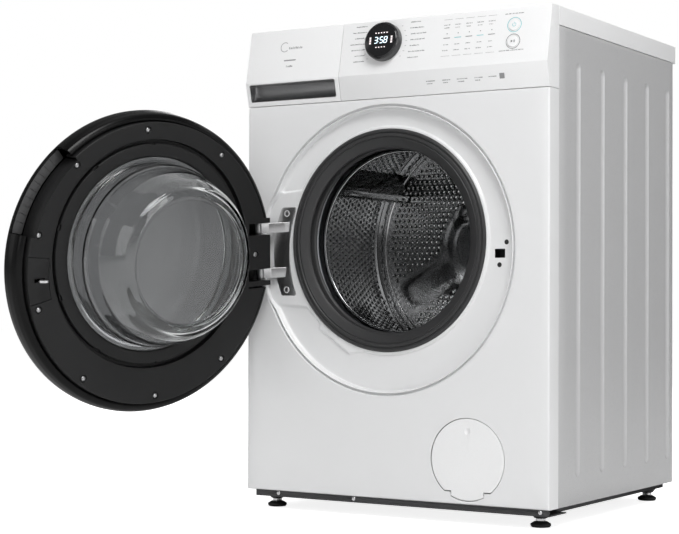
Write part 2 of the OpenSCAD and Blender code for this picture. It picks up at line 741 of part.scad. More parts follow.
module tub_rear() {
    r = tub_r;
    color("lightsteelblue") difference() {
        union() {
            turned(axis_x, drum_z, [
                [r - tub_wall, tub_joint_y], [r + 5, tub_joint_y], [r + 5, tub_joint_y + 6], [r,
                    tub_joint_y + 6],
                [r, tub_back_y - 8], [r - 8, tub_back_y], [44, tub_back_y], [44, hub_back_y - 2], [38,
                    hub_back_y - 2],
                [bearing_r + 0.02, hub_back_y - 2], [bearing_r + 0.02, tub_back_y - 8], [34,
                    tub_back_y - 8],
                [r - 12, tub_back_y - 5], [r - tub_wall, tub_back_y - 12]], 128);
            // radial ribs on the back wall
            for (i = [0:7]) translate([axis_x, 0, drum_z]) rotate([0, 45 * i + 22.5, 0])
                box(43, r - 10, tub_back_y - 1, tub_back_y + 16, -2, 2);
            // ears for the springs
            for (s = [-1, 1]) box(axis_x + s * spring_x - 12, axis_x + s * spring_x + 12, spring_y + 1,
                spring_y + 8,
                630, spring_low_z - 2);
            for (s = [-1, 1]) box(axis_x + s * spring_x - 12, axis_x + s * spring_x + 12, spring_y - 12,
                spring_y + 8,
                spring_low_z - 6, spring_low_z - 2);
            // ears for the dampers
            for (s = [-1, 1]) box(axis_x + s * damper_x - 12, axis_x + s * damper_x + 12, damper_y - 9,
                damper_y + 9, 262, 282);
            // motor brackets
            for (z = [motor_z + 40, motor_z + 62]) box(motor_x - 16, motor_x - 6, 70, 150, z, z + 22);
        }
        turned(axis_x, drum_z, [[0, tub_joint_y - 60], [r - tub_wall - 0.01, tub_joint_y - 60],
            [r - tub_wall - 0.01, tub_back_y - 12], [r - 12.01, tub_back_y - 5.01], [34, tub_back_y - 8],
                [0, tub_back_y - 8]], 128);
    }
}

module arc_block(r0, r1, a0, a1, y0, y1) {
    intersection() {
        ring_y(axis_x, drum_z, r1, r0, y0, y1);
        sector_y(axis_x, drum_z, r1 + 60, a0, a1, y0 - 1, y1 + 1);
    }
}

module front_counterweights() {
    color("darkgray") {
        arc_block(192, 235, 28, 152, tub_front_y - 25, tub_front_y - 0.5);
        arc_block(192, 235, 208, 332, tub_front_y - 25, tub_front_y - 0.5);
    }
}

module top_counterweight() {
    color("darkgray") difference() {
        box(-88, 150, 10, 130, 690, 790);
        cyl_y(axis_x, drum_z, tub_r + 0.5, 0, 140, 128);
    }
}

module bearings() {
    color("silver") {
        ring_y(axis_x, drum_z, bearing_r, shaft_r + pin_play, tub_back_y - 7, tub_back_y + 9, 96);
        ring_y(axis_x, drum_z, bearing_r, shaft_r + pin_play, hub_back_y - 18, hub_back_y - 3, 96);
    }
}

module drive_motor() {
    color("dimgray") {
        difference() {
            union() {
                cyl_y(motor_x, motor_z, 55, 60, 176);
                cyl_y(motor_x, motor_z, 30, 176, 190);
                for (a = [45, 135, 225, 315]) cyl_y(motor_x + 57 * cos(a), motor_z + 57 * sin(a), 7, 62,
                    174, 32);
                box(motor_x - 16, motor_x + 16, 70, 150, motor_z + 44, motor_z + 62 - 0.5);
            }
            cyl_y(motor_x, motor_z, 6 + pin_play, 100, 200, 48);
            box(motor_x - 16.4, motor_x - 5.6, 69, 151, motor_z + 39, motor_z + 64);
        }
    }
}

module damper_rods() {
    color("silver") for (s = [-1, 1])
        translate([axis_x + s * damper_x, damper_y, 112]) cylinder(r = 5, h = 150, $fn = 48);
}

module damper_cylinders() {
    color("black") for (s = [-1, 1]) translate([axis_x + s * damper_x, damper_y, 40]) difference() {
        union() {
            cylinder(r = 14, h = damper_top_z - 40, $fn = 64);
            cylinder(r = 15.5, h = 8, $fn = 64);
        }
        translate([0, 0, 40]) cylinder(r = 5 + pin_play, h = 200, $fn = 48);
    }
}

module spring_beam() {
    color("silver") {
        box(-half_w + 1.5, half_w - 1.5, spring_y - 14, spring_y + 14, spring_top_z + 12,
            spring_top_z + 14);
        box(-half_w + 1.5, half_w - 1.5, spring_y - 14, spring_y - 12, spring_top_z + 14,
            spring_top_z + 22);
        for (s = [-1, 1]) translate([axis_x + s * spring_x, spring_y, spring_top_z]) cylinder(r = 4,
            h = 12, $fn = 32);
    }
}

module suspension_springs() {
    color("silver") for (s = [-1, 1]) translate([axis_x + s * spring_x, spring_y,
        spring_low_z]) difference() {
        cylinder(r = 13, h = spring_top_z - spring_low_z - 2, $fn = 64);
        translate([0, 0, -1]) cylinder(r = 10, h = 200, $fn = 64);
    }
}

// Outline of a belt round two pulleys, the first at the origin and the second at [dx, dz]
function belt_outline(r1, r2, dx, dz) =
    let (heading = atan2(dz, dx), wrap = acos((r1 - r2) / norm([dx, dz])))
    concat(arc(r1, heading + wrap, heading + 360 - wrap, 60),
        arc(r2, heading - wrap, heading + wrap, 24, [dx, dz]));

module drive_belt() {
    dx = motor_x - axis_x;
    dz = motor_z - drum_z;
    color([0.1, 0.1, 0.1]) translate([axis_x, belt_y + belt_w / 2, drum_z]) rotate([90, 0,
        0]) linear_extrude(belt_w)
        difference() {
            polygon(belt_outline(pulley_r + belt_gap + belt_t, motor_pulley_r + belt_gap + belt_t, dx,
                dz));
            polygon(belt_outline(pulley_r + belt_gap, motor_pulley_r + belt_gap, dx, dz));
        }
}

// ---------- drum ----------

module drum_shell() {
    color("silver") ring_y(axis_x, drum_z, drum_r + 1, drum_r, drum_front_y + 18, drum_back_y, 160);
}

// Front wall of the drum with its rolled mouth
module drum_front() {
    r = drum_r;
    color("silver") turned(axis_x, drum_z, [
        [drum_mouth_r, drum_front_y - 6], [drum_mouth_r + 3, drum_front_y - 9], [drum_mouth_r + 6,
            drum_front_y - 6],
        [drum_mouth_r + 12, drum_front_y - 1], [r - 14, drum_front_y + 2], [r - 3, drum_front_y + 8],
        [r + 1, drum_front_y + 16], [r + 1, drum_front_y + 18], [r, drum_front_y + 18], [r,
            drum_front_y + 17],
        [r - 4, drum_front_y + 9.5], [r - 15, drum_front_y + 3.2], [drum_mouth_r + 9, drum_front_y],
        [drum_mouth_r + 3, drum_front_y - 5]], 160);
}

module drum_back() {
    r = drum_r;
    color("silver") turned(axis_x, drum_z, [[0, drum_back_y - 14], [60, drum_back_y - 14], [80,
        drum_back_y - 4],
        [r - 30, drum_back_y - 4], [r - 14, drum_back_y - 1], [r - 0.4, drum_back_y - 1], [r - 0.4,
            drum_back_y + 0.4],
        [r - 15, drum_back_y + 0.4], [r - 31, drum_back_y - 2.6], [80, drum_back_y - 2.6], [60,
            drum_back_y - 12.6],
        [0, drum_back_y - 12.6]], 160);
}

module lifters() {
    r = drum_r - 0.3;
    color("silver") intersection() {
        cyl_y(axis_x, drum_z, r, drum_front_y + 22, drum_back_y - 8, 160);
        union() for (i = [0:lifter_count - 1]) translate([axis_x, 0, drum_z]) rotate([0,
            360 / lifter_count * i + 90, 0])
            translate([0, drum_back_y - 8, 0]) rotate([90, 0,
                0]) linear_extrude(drum_back_y - drum_front_y - 30)
                polygon([[r + 5, -32], [r - 12, -26], [r - 44, -10], [r - 48, -5], [r - 49, 0], [r - 48,
                    5], [r - 44, 10],
                    [r - 12, 26], [r + 5, 32]]);
    }
}

module drum_spider() {
    color("lightgray") difference() {
        union() {
            cyl_y(axis_x, drum_z, 34, drum_back_y + 2, drum_back_y + 34);
            for (i = [0:2]) translate([axis_x, 0, drum_z]) rotate([0, 120 * i - 30, 0])
                translate([0, drum_back_y + 0.6, 0]) rotate([-90, 0, 0]) linear_extrude(22)
                    polygon([[20, -26], [drum_r - 14, -15], [drum_r - 14, 15], [20, 26]]);
        }
        cyl_y(axis_x, drum_z, shaft_r, drum_back_y - 4, drum_back_y + 60, 64);
    }
}

module drum_shaft() {
    color("silver") {
        cyl_y(axis_x, drum_z, shaft_r, drum_back_y + 0.8, 226, 96);
    }
}

module drum_pulley() {
    y0 = belt_y - 8;
    y1 = belt_y + 8;
    color("lightgray") difference() {
        union() {
            ring_y(axis_x, drum_z, pulley_r, pulley_r - 10, belt_y - 6, belt_y + 6, 160);
            ring_y(axis_x, drum_z, pulley_r + 3, pulley_r - 10, y0, belt_y - 6.5, 160);
            ring_y(axis_x, drum_z, pulley_r + 3, pulley_r - 10, belt_y + 6.5, y1, 160);
            ring_y(axis_x, drum_z, pulley_r - 2, pulley_r - 10, y0, y1, 160);
            cyl_y(axis_x, drum_z, 28, y0, y1 + 2);
            cyl_y(axis_x, drum_z, pulley_r - 5, belt_y - 3, belt_y + 3, 160);
        }
        for (i = [0:5]) cyl_y(axis_x + 80 * cos(60 * i), drum_z + 80 * sin(60 * i), 26, y0, y1, 64);
        cyl_y(axis_x, drum_z, shaft_r, y0 - 2, y1 + 4, 96);
    }
}

module motor_pulley() {
    color("silver") {
        cyl_y(motor_x, motor_z, 6, 102, 222, 48);
        cyl_y(motor_x, motor_z, motor_pulley_r, belt_y - 7, belt_y + 7, 64);
        cyl_y(motor_x, motor_z, motor_pulley_r + 2.5, belt_y - 9, belt_y - 7, 64);
    }
}

// ---------- drain filter ----------

module filter_recess() {
    y0 = front_y + sheet + 0.2;
    y1 = y0 + cup_depth;
    cup_r = flap_r + 3.6;
    color("gainsboro") {
        difference() {
            cyl_y(flap_x, flap_z, cup_r + 1.2, y0, y1, 128);
            cyl_y(flap_x, flap_z, cup_r, y0 - 1, y1 - 3, 128);
            cyl_y(flap_x, flap_z, cap_r + 8, y0 - 1, y1 + 1, 96);
        }
        // hinge pin for the flap, held in the wall of the recess
        translate([flap_x - 44, flap_pin_y, flap_pin_z]) rotate([0, 90, 0]) cylinder(r = flap_pin_r,
            h = 88, $fn = 32);
    }
}

module filter_flap() {
    color("white") {
        difference() {
            turned(flap_x, flap_z, [[0, front_y], [flap_r - flap_edge, front_y], [flap_r,
                front_y + flap_edge],
                [flap_r, front_y + flap_t], [0, front_y + flap_t]]);
            // shallow finger dimple
            translate([flap_x, front_y - 21.5, flap_z + 46]) sphere(r = 23.3, $fn = 64);
            // reliefs beside the hinge, so the open flap clears the edge of its hole
            for (s = [-1, 1]) translate([flap_x + s * 50.5, front_y + 1, flap_pin_z + 2.3])
                cube([40, 10, 5.8], center = true);
        }
        for (s = [-1, 1]) difference() {
            union() {
                box(flap_x + s * 24 - 4, flap_x + s * 24 + 4, front_y + flap_t - 0.1, flap_pin_y,
                    flap_pin_z - 3, flap_pin_z + 3);
                translate([flap_x + s * 24 - 4, flap_pin_y, flap_pin_z]) rotate([0, 90, 0])
                    cylinder(r = 3, h = 8, $fn = 32);
            }
            translate([flap_x - 50, flap_pin_y, flap_pin_z]) rotate([0, 90, 0])
                cylinder(r = flap_pin_r + pin_play, h = 100, $fn = 32);
        }
    }
}

module filter_cap() {
    y0 = front_y + 14;
    color("lightgray") {
        cyl_y(flap_x, flap_z, cap_r, y0 + 7, y0 + 30, 64);
        box(flap_x - 22, flap_x + 22, y0, y0 + 7.5, flap_z - 4, flap_z + 4);
        cyl_y(flap_x, flap_z, 22, y0 + 29.5, y0 + 90, 64);
    }
}

module drain_pump() {
    y0 = front_y + 26;
    color("gray") {
        difference() {
            union() {
                cyl_y(flap_x, flap_z, cap_r + 6, y0, y0 + 92, 96);
                cyl_y(flap_x, flap_z, 26, y0 + 92, y0 + 150, 64);
                // inlet from the tub and outlet to the drain hose
                translate([flap_x - 20, y0 + 60, flap_z + 20]) cylinder(r = 14, h = 55, $fn = 48);
                box(flap_x - 20, flap_x + 20, y0 + 40, y0 + 90, 24, flap_z - 20);
            }
            cyl_y(flap_x, flap_z, cap_r + 0.4, y0 - 1, y0 + 84, 96);
        }
    }
}

// ---------- rear services ----------

module inlet_valve() {
    color("white") difference() {
        union() {
            box(-256, -204, rear_y - 58, rear_y - 3, 752, 798);
            cyl_y(-230, 775, 14, rear_y - 4, rear_y + 2, 64);
            cyl_y(-230, 775, 13.2, rear_y + 2, rear_y + 16, 96);
        }
        cyl_y(-230, 775, 6, rear_y - 20, rear_y + 20, 48);
    }
}

module drain_outlet() {
    color("dimgray") difference() {
        union() {
            cyl_y(200, 110, 17, rear_y, rear_y + 3, 64);
            cyl_y(200, 110, 12.6, rear_y - 30, rear_y + 1, 64);
            cyl_y(200, 110, 10.5, rear_y + 3, rear_y + 18, 64);
        }
        cyl_y(200, 110, 8, rear_y - 31, rear_y + 19, 64);
    }
}

module cable_gland() {
    color([0.1, 0.1, 0.1]) difference() {
        union() {
            cyl_y(235, 775, 9, rear_y - 6, rear_y + 0.2, 64);
            cyl_y(235, 775, 12, rear_y, rear_y + 4, 64);
            cyl_y(235, 775, 7.5, rear_y + 4, rear_y + 14, 64);
        }
        cyl_y(235, 775, 3.6, rear_y - 8, rear_y + 20, 48);
    }
}

module transit_caps() {
    color("lightgray") for (x = [-215, 200], z = [300, 640]) {
        cyl_y(x, z, 14, rear_y, rear_y + 3, 48);
        cyl_y(x, z, 8.6, rear_y - 12, rear_y + 0.5, 32);
    }
}

// ---------- feet ----------

module foot_lock_nuts() {
    color("silver") for (x = [-foot_x, foot_x], y = [foot_front_y, foot_rear_y]) translate([x, y,
        foot_pad_h + 0.8])
        difference() {
            cylinder(r = 9, h = boss_z - foot_pad_h - 0.8, $fn = 6);
            translate([0, 0, -1]) cylinder(r = stud_r + pin_play, h = 20, $fn = 48);
        }
}

module foot(x, y) {
    color([0.08, 0.08, 0.08]) translate([x, y, 0]) {
        cylinder(r1 = foot_pad_r - 1.5, r2 = foot_pad_r, h = 2.5, $fn = 64);
        translate([0, 0, 2.5]) cylinder(r = foot_pad_r, h = 3, $fn = 64);
        translate([0, 0, 5.5]) cylinder(r1 = foot_pad_r, r2 = 11, h = foot_pad_h - 5.5, $fn = 64);
        cylinder(r = stud_r, h = 44, $fn = 48);
    }
}

module foot_front_left() { foot(-foot_x, foot_front_y); }
module foot_front_right() { foot(foot_x, foot_front_y); }
module foot_rear_left() { foot(-foot_x, foot_rear_y); }
module foot_rear_right() { foot(foot_x, foot_rear_y); }

// ---------- assembly ----------

side_panel_left();
side_panel_right();
front_panel();
door_recess();
rear_panel();
rear_cover();
top_cover();
base_frame();
control_fascia();
drawer_housing();
display_lens();
control_board();
hinge_bracket();
cabinet_screws();
door_lock();
gasket();
filter_recess();
drain_pump();
foot_lock_nuts();
spring_beam();
suspension_springs();
damper_cylinders();
inlet_valve();
drain_outlet();
cable_gland();
transit_caps();
tub_front();
tub_rear();
front_counterweights();
top_counterweight();
bearings();
drive_motor();
damper_rods();
drive_belt();
drum_shell();
drum_front();
drum_back();
lifters();
drum_spider();
drum_shaft();
drum_pulley();
motor_pulley();
door_shell();
door_window();
door_frame();
glass_clamp_ring();
door_glass();
latch_housing();
door_screws();
hinge_pins();
latch_hook();
selector_knob();
power_button();
start_button();
drawer_front();
drawer_tray();
filter_flap();
filter_cap();
foot_front_left();
foot_front_right();
foot_rear_left();
foot_rear_right();
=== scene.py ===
"""Looks for a front-load washing machine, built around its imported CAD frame.

Lengths are millimetres in the CAD frame: +X right, -Y front, +Z up. Each finished mesh is scaled to metres.
"""

import json
import math
import random

import bmesh
import bpy
import numpy as np
from mathutils import Matrix, Vector


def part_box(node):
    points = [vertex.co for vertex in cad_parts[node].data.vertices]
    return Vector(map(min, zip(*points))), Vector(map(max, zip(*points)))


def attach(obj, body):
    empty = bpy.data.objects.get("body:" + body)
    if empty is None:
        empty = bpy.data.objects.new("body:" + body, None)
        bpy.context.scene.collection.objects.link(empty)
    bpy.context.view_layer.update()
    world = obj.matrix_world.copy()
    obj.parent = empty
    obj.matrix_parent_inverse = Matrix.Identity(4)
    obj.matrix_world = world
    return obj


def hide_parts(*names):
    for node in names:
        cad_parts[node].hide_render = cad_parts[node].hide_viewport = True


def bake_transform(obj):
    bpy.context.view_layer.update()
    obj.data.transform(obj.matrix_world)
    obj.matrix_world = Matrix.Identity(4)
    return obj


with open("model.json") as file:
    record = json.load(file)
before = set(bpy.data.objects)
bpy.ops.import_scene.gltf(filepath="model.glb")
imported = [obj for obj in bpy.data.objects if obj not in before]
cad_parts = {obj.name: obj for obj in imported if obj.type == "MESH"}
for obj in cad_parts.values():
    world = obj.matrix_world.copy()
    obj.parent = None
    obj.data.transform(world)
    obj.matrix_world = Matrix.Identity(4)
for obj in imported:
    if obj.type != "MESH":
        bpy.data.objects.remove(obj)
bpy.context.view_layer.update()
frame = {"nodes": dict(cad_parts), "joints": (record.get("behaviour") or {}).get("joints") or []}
MM = 0.001


def node_box(node):
    """Lowest and highest corner of a CAD node, in millimetres."""
    low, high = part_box(node)
    return [c / MM for c in low], [c / MM for c in high]


def joint(name):
    return next(j for j in frame["joints"] if j["name"] == name)


def joint_point(name):
    return [c / MM for c in joint(name)["pos_m"]]


# ---------- sizes, worked out from the frame ----------

CAB_LOW, CAB_HIGH = node_box("front_panel")
LEFT, RIGHT = CAB_LOW[0], CAB_HIGH[0]
FRONT, WRAP = CAB_LOW[1], CAB_HIGH[1]
BASE_Z, PANEL_TOP = CAB_LOW[2], CAB_HIGH[2]
LID_LOW, LID_HIGH = node_box("top_cover")
TOP = LID_HIGH[2]
DRUM_LOW, DRUM_HIGH = node_box("drum_shell")
AXIS_X = (DRUM_LOW[0] + DRUM_HIGH[0]) / 2
AXIS_Z = (DRUM_LOW[2] + DRUM_HIGH[2]) / 2
HINGE = joint_point("door_hinge")
DOOR_Z = HINGE[2]
DOOR_R = 256.0
DOOR_OPEN = math.radians(joint("door_hinge")["range_deg"][1])
PIN_AXIS = Vector(joint("door_hinge")["axis"])
LEAN = math.atan2(-PIN_AXIS.y, PIN_AXIS.z)
RECESS_R = 251.0
RECESS_DEPTH = 13.0
RECESS_Y = FRONT + RECESS_DEPTH
MOUTH_R = 186.0
DOOR_IN_Y = RECESS_Y - 6.0
DOOR_OUT_Y = DOOR_IN_Y - 58.0
FASCIA_Z = node_box("control_fascia")[0][2]
CREASE_OUT = 9.5
CREASE_Y = FRONT - CREASE_OUT
CREASE_Z = 760.0
TOP_Y = FRONT + 9.0
SLANT = math.atan((TOP_Y - CREASE_Y) / (TOP - CREASE_Z))
SPLIT_X = node_box("drawer_front")[1][0] + 0.5
DIAL = joint_point("dial_turn")
DIAL_X, DIAL_Z = DIAL[0], DIAL[2]
DIAL_R, DIAL_H = 34.0, 15.0
BUTTON_X = sum(corner[0] for corner in node_box("power_button")) / 2
POWER_Z, START_Z = 824.5, 796.5
FLAP_LOW, FLAP_HIGH = node_box("filter_flap")
FLAP_X = (FLAP_LOW[0] + FLAP_HIGH[0]) / 2
FLAP_R = (FLAP_HIGH[0] - FLAP_LOW[0]) / 2
FLAP_Z = FLAP_HIGH[2] - FLAP_R
LATCH_X, LATCH_Z = AXIS_X + 216.0, DOOR_Z - 8.5
SCREW_ANGLES = [16.5, 50, 87.5, 128, -128, -90.5, -52.5, -14.5]
SCREW_RING = 225.0

# The door is drawn closed and swung open about its leaning hinge axis.
OPEN_DOOR = (
    Matrix.Translation(Vector(HINGE))
    @ Matrix.Rotation(-DOOR_OPEN, 4, PIN_AXIS)
    @ Matrix.Translation(-Vector(HINGE))
)
# Frame whose Z runs along the hinge pins, with its origin at the middle of the door's height.
PIN_FRAME = Matrix.Translation(Vector(HINGE)) @ Matrix.Rotation(LEAN, 4, "X")


def slant_frame(x, z, lift=0.0):
    """Frame on the slanted control face: origin at height z, +Z out of the face, +Y up the face."""
    y = CREASE_Y + (z - CREASE_Z) * math.tan(SLANT)
    turn = Matrix.Rotation(math.pi / 2 - SLANT, 4, "X")
    return Matrix.Translation((x, y, z)) @ turn @ Matrix.Translation((0, 0, lift))


# ---------- mesh tools ----------


def polar(r, a, cx, cz):
    """The point at radius r and angle a about (cx, cz)."""
    return cx + r * math.cos(a), cz + r * math.sin(a)


def moved(points, dy):
    """A turned profile moved along Y. Its points are (radius, y) or (radius, y, fillet)."""
    return [(p[0], p[1] + dy, *p[2:]) for p in points]


def fillet(points, radius=1.0, steps=5, closed=True):
    """Rounds a flat outline's corners. A point may carry its own radius: (x, y, r)."""
    out = []
    n = len(points)
    for i, point in enumerate(points):
        p = Vector(point[:2])
        r = point[2] if len(point) > 2 else radius
        if not closed and i in (0, n - 1) or r <= 0:
            out.append(tuple(p))
            continue
        a, b = Vector(points[i - 1][:2]) - p, Vector(points[(i + 1) % n][:2]) - p
        la, lb = a.length, b.length
        if la < 1e-6 or lb < 1e-6:
            out.append(tuple(p))
            continue
        a, b = a / la, b / lb
        half = math.acos(max(-1, min(1, a.dot(b)))) / 2
        if half > math.radians(89) or half < math.radians(2):
            out.append(tuple(p))
            continue
        reach = min(r / math.tan(half), la * 0.49, lb * 0.49)
        r = reach * math.tan(half)
        centre = p + (a + b).normalized() * (r / math.sin(half))
        start, end = p + a * reach - centre, p + b * reach - centre
        turn = start.angle_signed(end)
        for k in range(steps + 1):
            t = -turn * k / steps
            x = start.x * math.cos(t) - start.y * math.sin(t)
            y = start.x * math.sin(t) + start.y * math.cos(t)
            out.append((centre.x + x, centre.y + y))
    return out


def make_mesh(name, verts, faces, angle=35, place=None):
    """A mesh object from millimetre points, shaded smooth except across edges sharper than angle."""
    mesh = bpy.data.meshes.new(name)
    mesh.from_pydata([tuple(v) for v in verts], [], faces)
    bm = bmesh.new()
    bm.from_mesh(mesh)
    bmesh.ops.remove_doubles(bm, verts=bm.verts, dist=1e-4)
    bmesh.ops.recalc_face_normals(bm, faces=bm.faces)
    return finish_bmesh(bm, name, angle, place, mesh)


def finish_bmesh(bm, name, angle=35, place=None, mesh=None, scale=MM):
    if place is not None:
        bmesh.ops.transform(bm, matrix=place, verts=bm.verts)
    bmesh.ops.scale(bm, vec=(scale, scale, scale), verts=bm.verts)
    mesh = mesh or bpy.data.meshes.new(name)
    bm.to_mesh(mesh)
    bm.free()
    mesh.polygons.foreach_set("use_smooth", [True] * len(mesh.polygons))
    mesh.set_sharp_from_angle(angle=math.radians(angle))
    piece = bpy.data.objects.new(name, mesh)
    bpy.context.scene.collection.objects.link(piece)
    return piece


def grid_faces(rows, columns, wrap_columns=False, wrap_rows=False):
    faces = []
    for i in range(rows if wrap_rows else rows - 1):
        for j in range(columns if wrap_columns else columns - 1):
            a, b = i * columns + j, i * columns + (j + 1) % columns
            c, d = ((i + 1) % rows) * columns + (j + 1) % columns, ((i + 1) % rows) * columns + j
            faces.append((a, b, c, d))
    return faces


def lathe(name, profile, centre=None, steps=192, closed=True, angle=35, place=None):
    """Turns a profile of (radius, y) points about a Y axis through centre (x, z)."""
    cx, cz = centre or (AXIS_X, AXIS_Z)
    verts = []
    for k in range(steps):
        t = 2 * math.pi * k / steps
        verts += [(cx + r * math.cos(t), y, cz + r * math.sin(t)) for r, y in profile]
    faces = grid_faces(steps, len(profile), wrap_columns=closed, wrap_rows=True)
    return make_mesh(name, verts, faces, angle, place)


def turned_up(name, profile, place, steps=96, closed=True, angle=35):
    """Turns a profile of (radius, z) points about the Z axis, then places it."""
    verts = []
    for k in range(steps):
        t = 2 * math.pi * k / steps
        verts += [(r * math.cos(t), r * math.sin(t), z) for r, z in profile]
    return make_mesh(name, verts, grid_faces(steps, len(profile), closed, True), angle, place)


def sharp_edges(bm, angle):
    limit = math.radians(angle)
    return [e for e in bm.edges if len(e.link_faces) == 2 and e.calc_face_angle(0) > limit]


def bevel(bm, width, segments=2, angle=30):
    bmesh.ops.bevel(
        bm, geom=sharp_edges(bm, angle), offset=width, segments=segments, profile=0.5,
        affect="EDGES", clamp_overlap=True,
    )


def prism(name, outline, axis, low, high, edge=0.6, segments=3, angle=35, place=None):
    """Extrudes a flat outline along an axis with rounded end edges.

    The outline's two numbers are (y, z) for axis X, (x, z) for axis Y and (x, y) for axis Z."""
    def point(p, h):
        return {"X": (h, p[0], p[1]), "Y": (p[0], h, p[1]), "Z": (p[0], p[1], h)}[axis]

    bm = bmesh.new()
    ends = [[bm.verts.new(point(p, h)) for p in outline] for h in (low, high)]
    caps = [bm.faces.new(end) for end in ends]
    n = len(outline)
    for i in range(n):
        bm.faces.new((ends[0][i], ends[0][(i + 1) % n], ends[1][(i + 1) % n], ends[1][i]))
    bmesh.ops.recalc_face_normals(bm, faces=bm.faces)
    if edge > 0:
        rim = list({e for cap in caps for e in cap.edges})
        bmesh.ops.bevel(bm, geom=rim, offset=edge, segments=segments, profile=0.5, affect="EDGES",
                        clamp_overlap=True)
    return finish_bmesh(bm, name, angle, place)


def rounded_rect(x0, x1, z0, z1, r=3.0, steps=5):
    return fillet([(x0, z0), (x1, z0), (x1, z1), (x0, z1)], r, steps)


def block(name, x, y, z, edge=1.0, segments=3, place=None):
    """A box with rounded edges, from ranges along each axis."""
    bm = bmesh.new()
    bmesh.ops.create_cube(bm, size=1.0)
    for v in bm.verts:
        v.co = [lo + (c + 0.5) * (hi - lo) for c, (lo, hi) in zip(v.co, (x, y, z))]
    bevel(bm, edge, segments)
    return finish_bmesh(bm, name, 35, place)


def cut(target, cutters):
    """Subtracts the cutters from the target and removes them."""
    for cutter in cutters:
        modifier = target.modifiers.new("cut", "BOOLEAN")
        modifier.operation = "DIFFERENCE"
        modifier.solver = "EXACT"
        modifier.object = cutter
    apply_modifiers(target)
    for cutter in cutters:
        bpy.data.objects.remove(cutter)
    target.data.set_sharp_from_angle(angle=math.radians(35))
    return target


def apply_modifiers(piece):
    bpy.context.view_layer.update()
    graph = bpy.context.evaluated_depsgraph_get()
    mesh = bpy.data.meshes.new_from_object(piece.evaluated_get(graph))
    piece.modifiers.clear()
    piece.data = mesh


def polished(node, name, edge, segments):
    """A copy of a CAD node's mesh with its sharp edges rounded."""
    bm = bmesh.new()
    bm.from_mesh(frame["nodes"][node].data)
    bmesh.ops.scale(bm, vec=(1 / MM, 1 / MM, 1 / MM), verts=bm.verts)
    bmesh.ops.remove_doubles(bm, verts=bm.verts, dist=1e-3)
    bmesh.ops.dissolve_limit(bm, angle_limit=math.radians(1.0), verts=bm.verts, edges=bm.edges)
    bevel(bm, edge, segments, 28)
    bmesh.ops.recalc_face_normals(bm, faces=bm.faces)
    return finish_bmesh(bm, name, 35)


def merged(name, pieces):
    """Joins pieces into one object."""
    bm = bmesh.new()
    for piece in pieces:
        bm.from_mesh(piece.data)
    for piece in pieces:
        bpy.data.objects.remove(piece)
    return finish_bmesh(bm, name, 35, scale=1.0)


def fit(piece, body, slot, material, *nodes):
    """Rides a piece on a body, gives it its material and hides the CAD nodes it stands for."""
    piece.data.materials.clear()
    piece.data.materials.append(material)
    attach(piece, body)
    if nodes:
        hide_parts(*nodes)
    return piece


# ---------- materials ----------


class Wiring:
    """A short way to add and link shader nodes."""

    def __init__(self, tree):
        self.tree = tree

    def new(self, kind, **values):
        node = self.tree.nodes.new(kind)
        for key, value in values.items():
            setattr(node, key, value)
        return node

    def link(self, a, b):
        self.tree.links.new(a, b)

    def math(self, operation, a, b=None):
        node = self.new("ShaderNodeMath", operation=operation)
        for socket, value in zip(node.inputs, (a, b)):
            if value is None:
                continue
            if isinstance(value, (int, float)):
                socket.default_value = value
            else:
                self.link(value, socket)
        return node.outputs[0]

    def span(self, value, low, high, to_low, to_high):
        node = self.new("ShaderNodeMapRange")
        for key, number in zip(("From Min", "From Max", "To Min", "To Max"), (low, high, to_low, to_high)):
            node.inputs[key].default_value = number
        self.link(value, node.inputs["Value"])
        return node.outputs["Result"]


class Nodes(Wiring):
    """A procedural material round a principled shader."""

    def __init__(self, name):
        self.material = bpy.data.materials.new(name)
        self.material.use_nodes = True
        super().__init__(self.material.node_tree)
        self.shader = next(n for n in self.tree.nodes if n.type == "BSDF_PRINCIPLED")
        self.place = self.new("ShaderNodeTexCoord").outputs["Object"]

    def noise(self, scale, detail=3.0, stretch=None):
        node = self.new("ShaderNodeTexNoise")
        node.inputs["Scale"].default_value = scale
        node.inputs["Detail"].default_value = detail
        source = self.place
        if stretch:
            mapping = self.new("ShaderNodeMapping")
            mapping.inputs["Scale"].default_value = stretch
            self.link(self.place, mapping.inputs["Vector"])
            source = mapping.outputs["Vector"]
        self.link(source, node.inputs["Vector"])
        return node.outputs["Fac"]

    def blend(self, factor, a, b):
        node = self.new("ShaderNodeMix", data_type="RGBA")
        self.link(factor, node.inputs["Factor"])
        for key, value in ((6, a), (7, b)):
            if isinstance(value, tuple):
                node.inputs[key].default_value = (*value, 1)
            else:
                self.link(value, node.inputs[key])
        return node.outputs[2]

    def bump(self, height, strength):
        node = self.new("ShaderNodeBump")
        node.inputs["Strength"].default_value = strength
        node.inputs["Distance"].default_value = MM
        self.link(height, node.inputs["Height"])
        self.link(node.outputs["Normal"], self.shader.inputs["Normal"])

    def set(self, **values):
        for key, value in values.items():
            self.shader.inputs[key.replace("_", " ")].default_value = value


def shade(colour, factor):
    return tuple(min(1.0, c * factor) for c in colour)


def surface(name, colour, rough, vary=0.04, rough_vary=0.05, grain=400, bump=0.02, patch=6, metallic=0.0,
            coat=0.0, stretch=None):
    """A base procedural finish: soft colour patches, uneven roughness and a fine surface grain."""
    m = Nodes(name)
    m.set(Metallic=metallic, Coat_Weight=coat, Coat_Roughness=0.08)
    tone = m.blend(m.noise(patch, 2), shade(colour, 1 - vary), shade(colour, 1 + vary))
    m.link(tone, m.shader.inputs["Base Color"])
    fine = m.noise(grain, 3, stretch)
    m.link(m.span(fine, 0.3, 0.7, rough - rough_vary, rough + rough_vary), m.shader.inputs["Roughness"])
    m.bump(fine, bump)
    return m


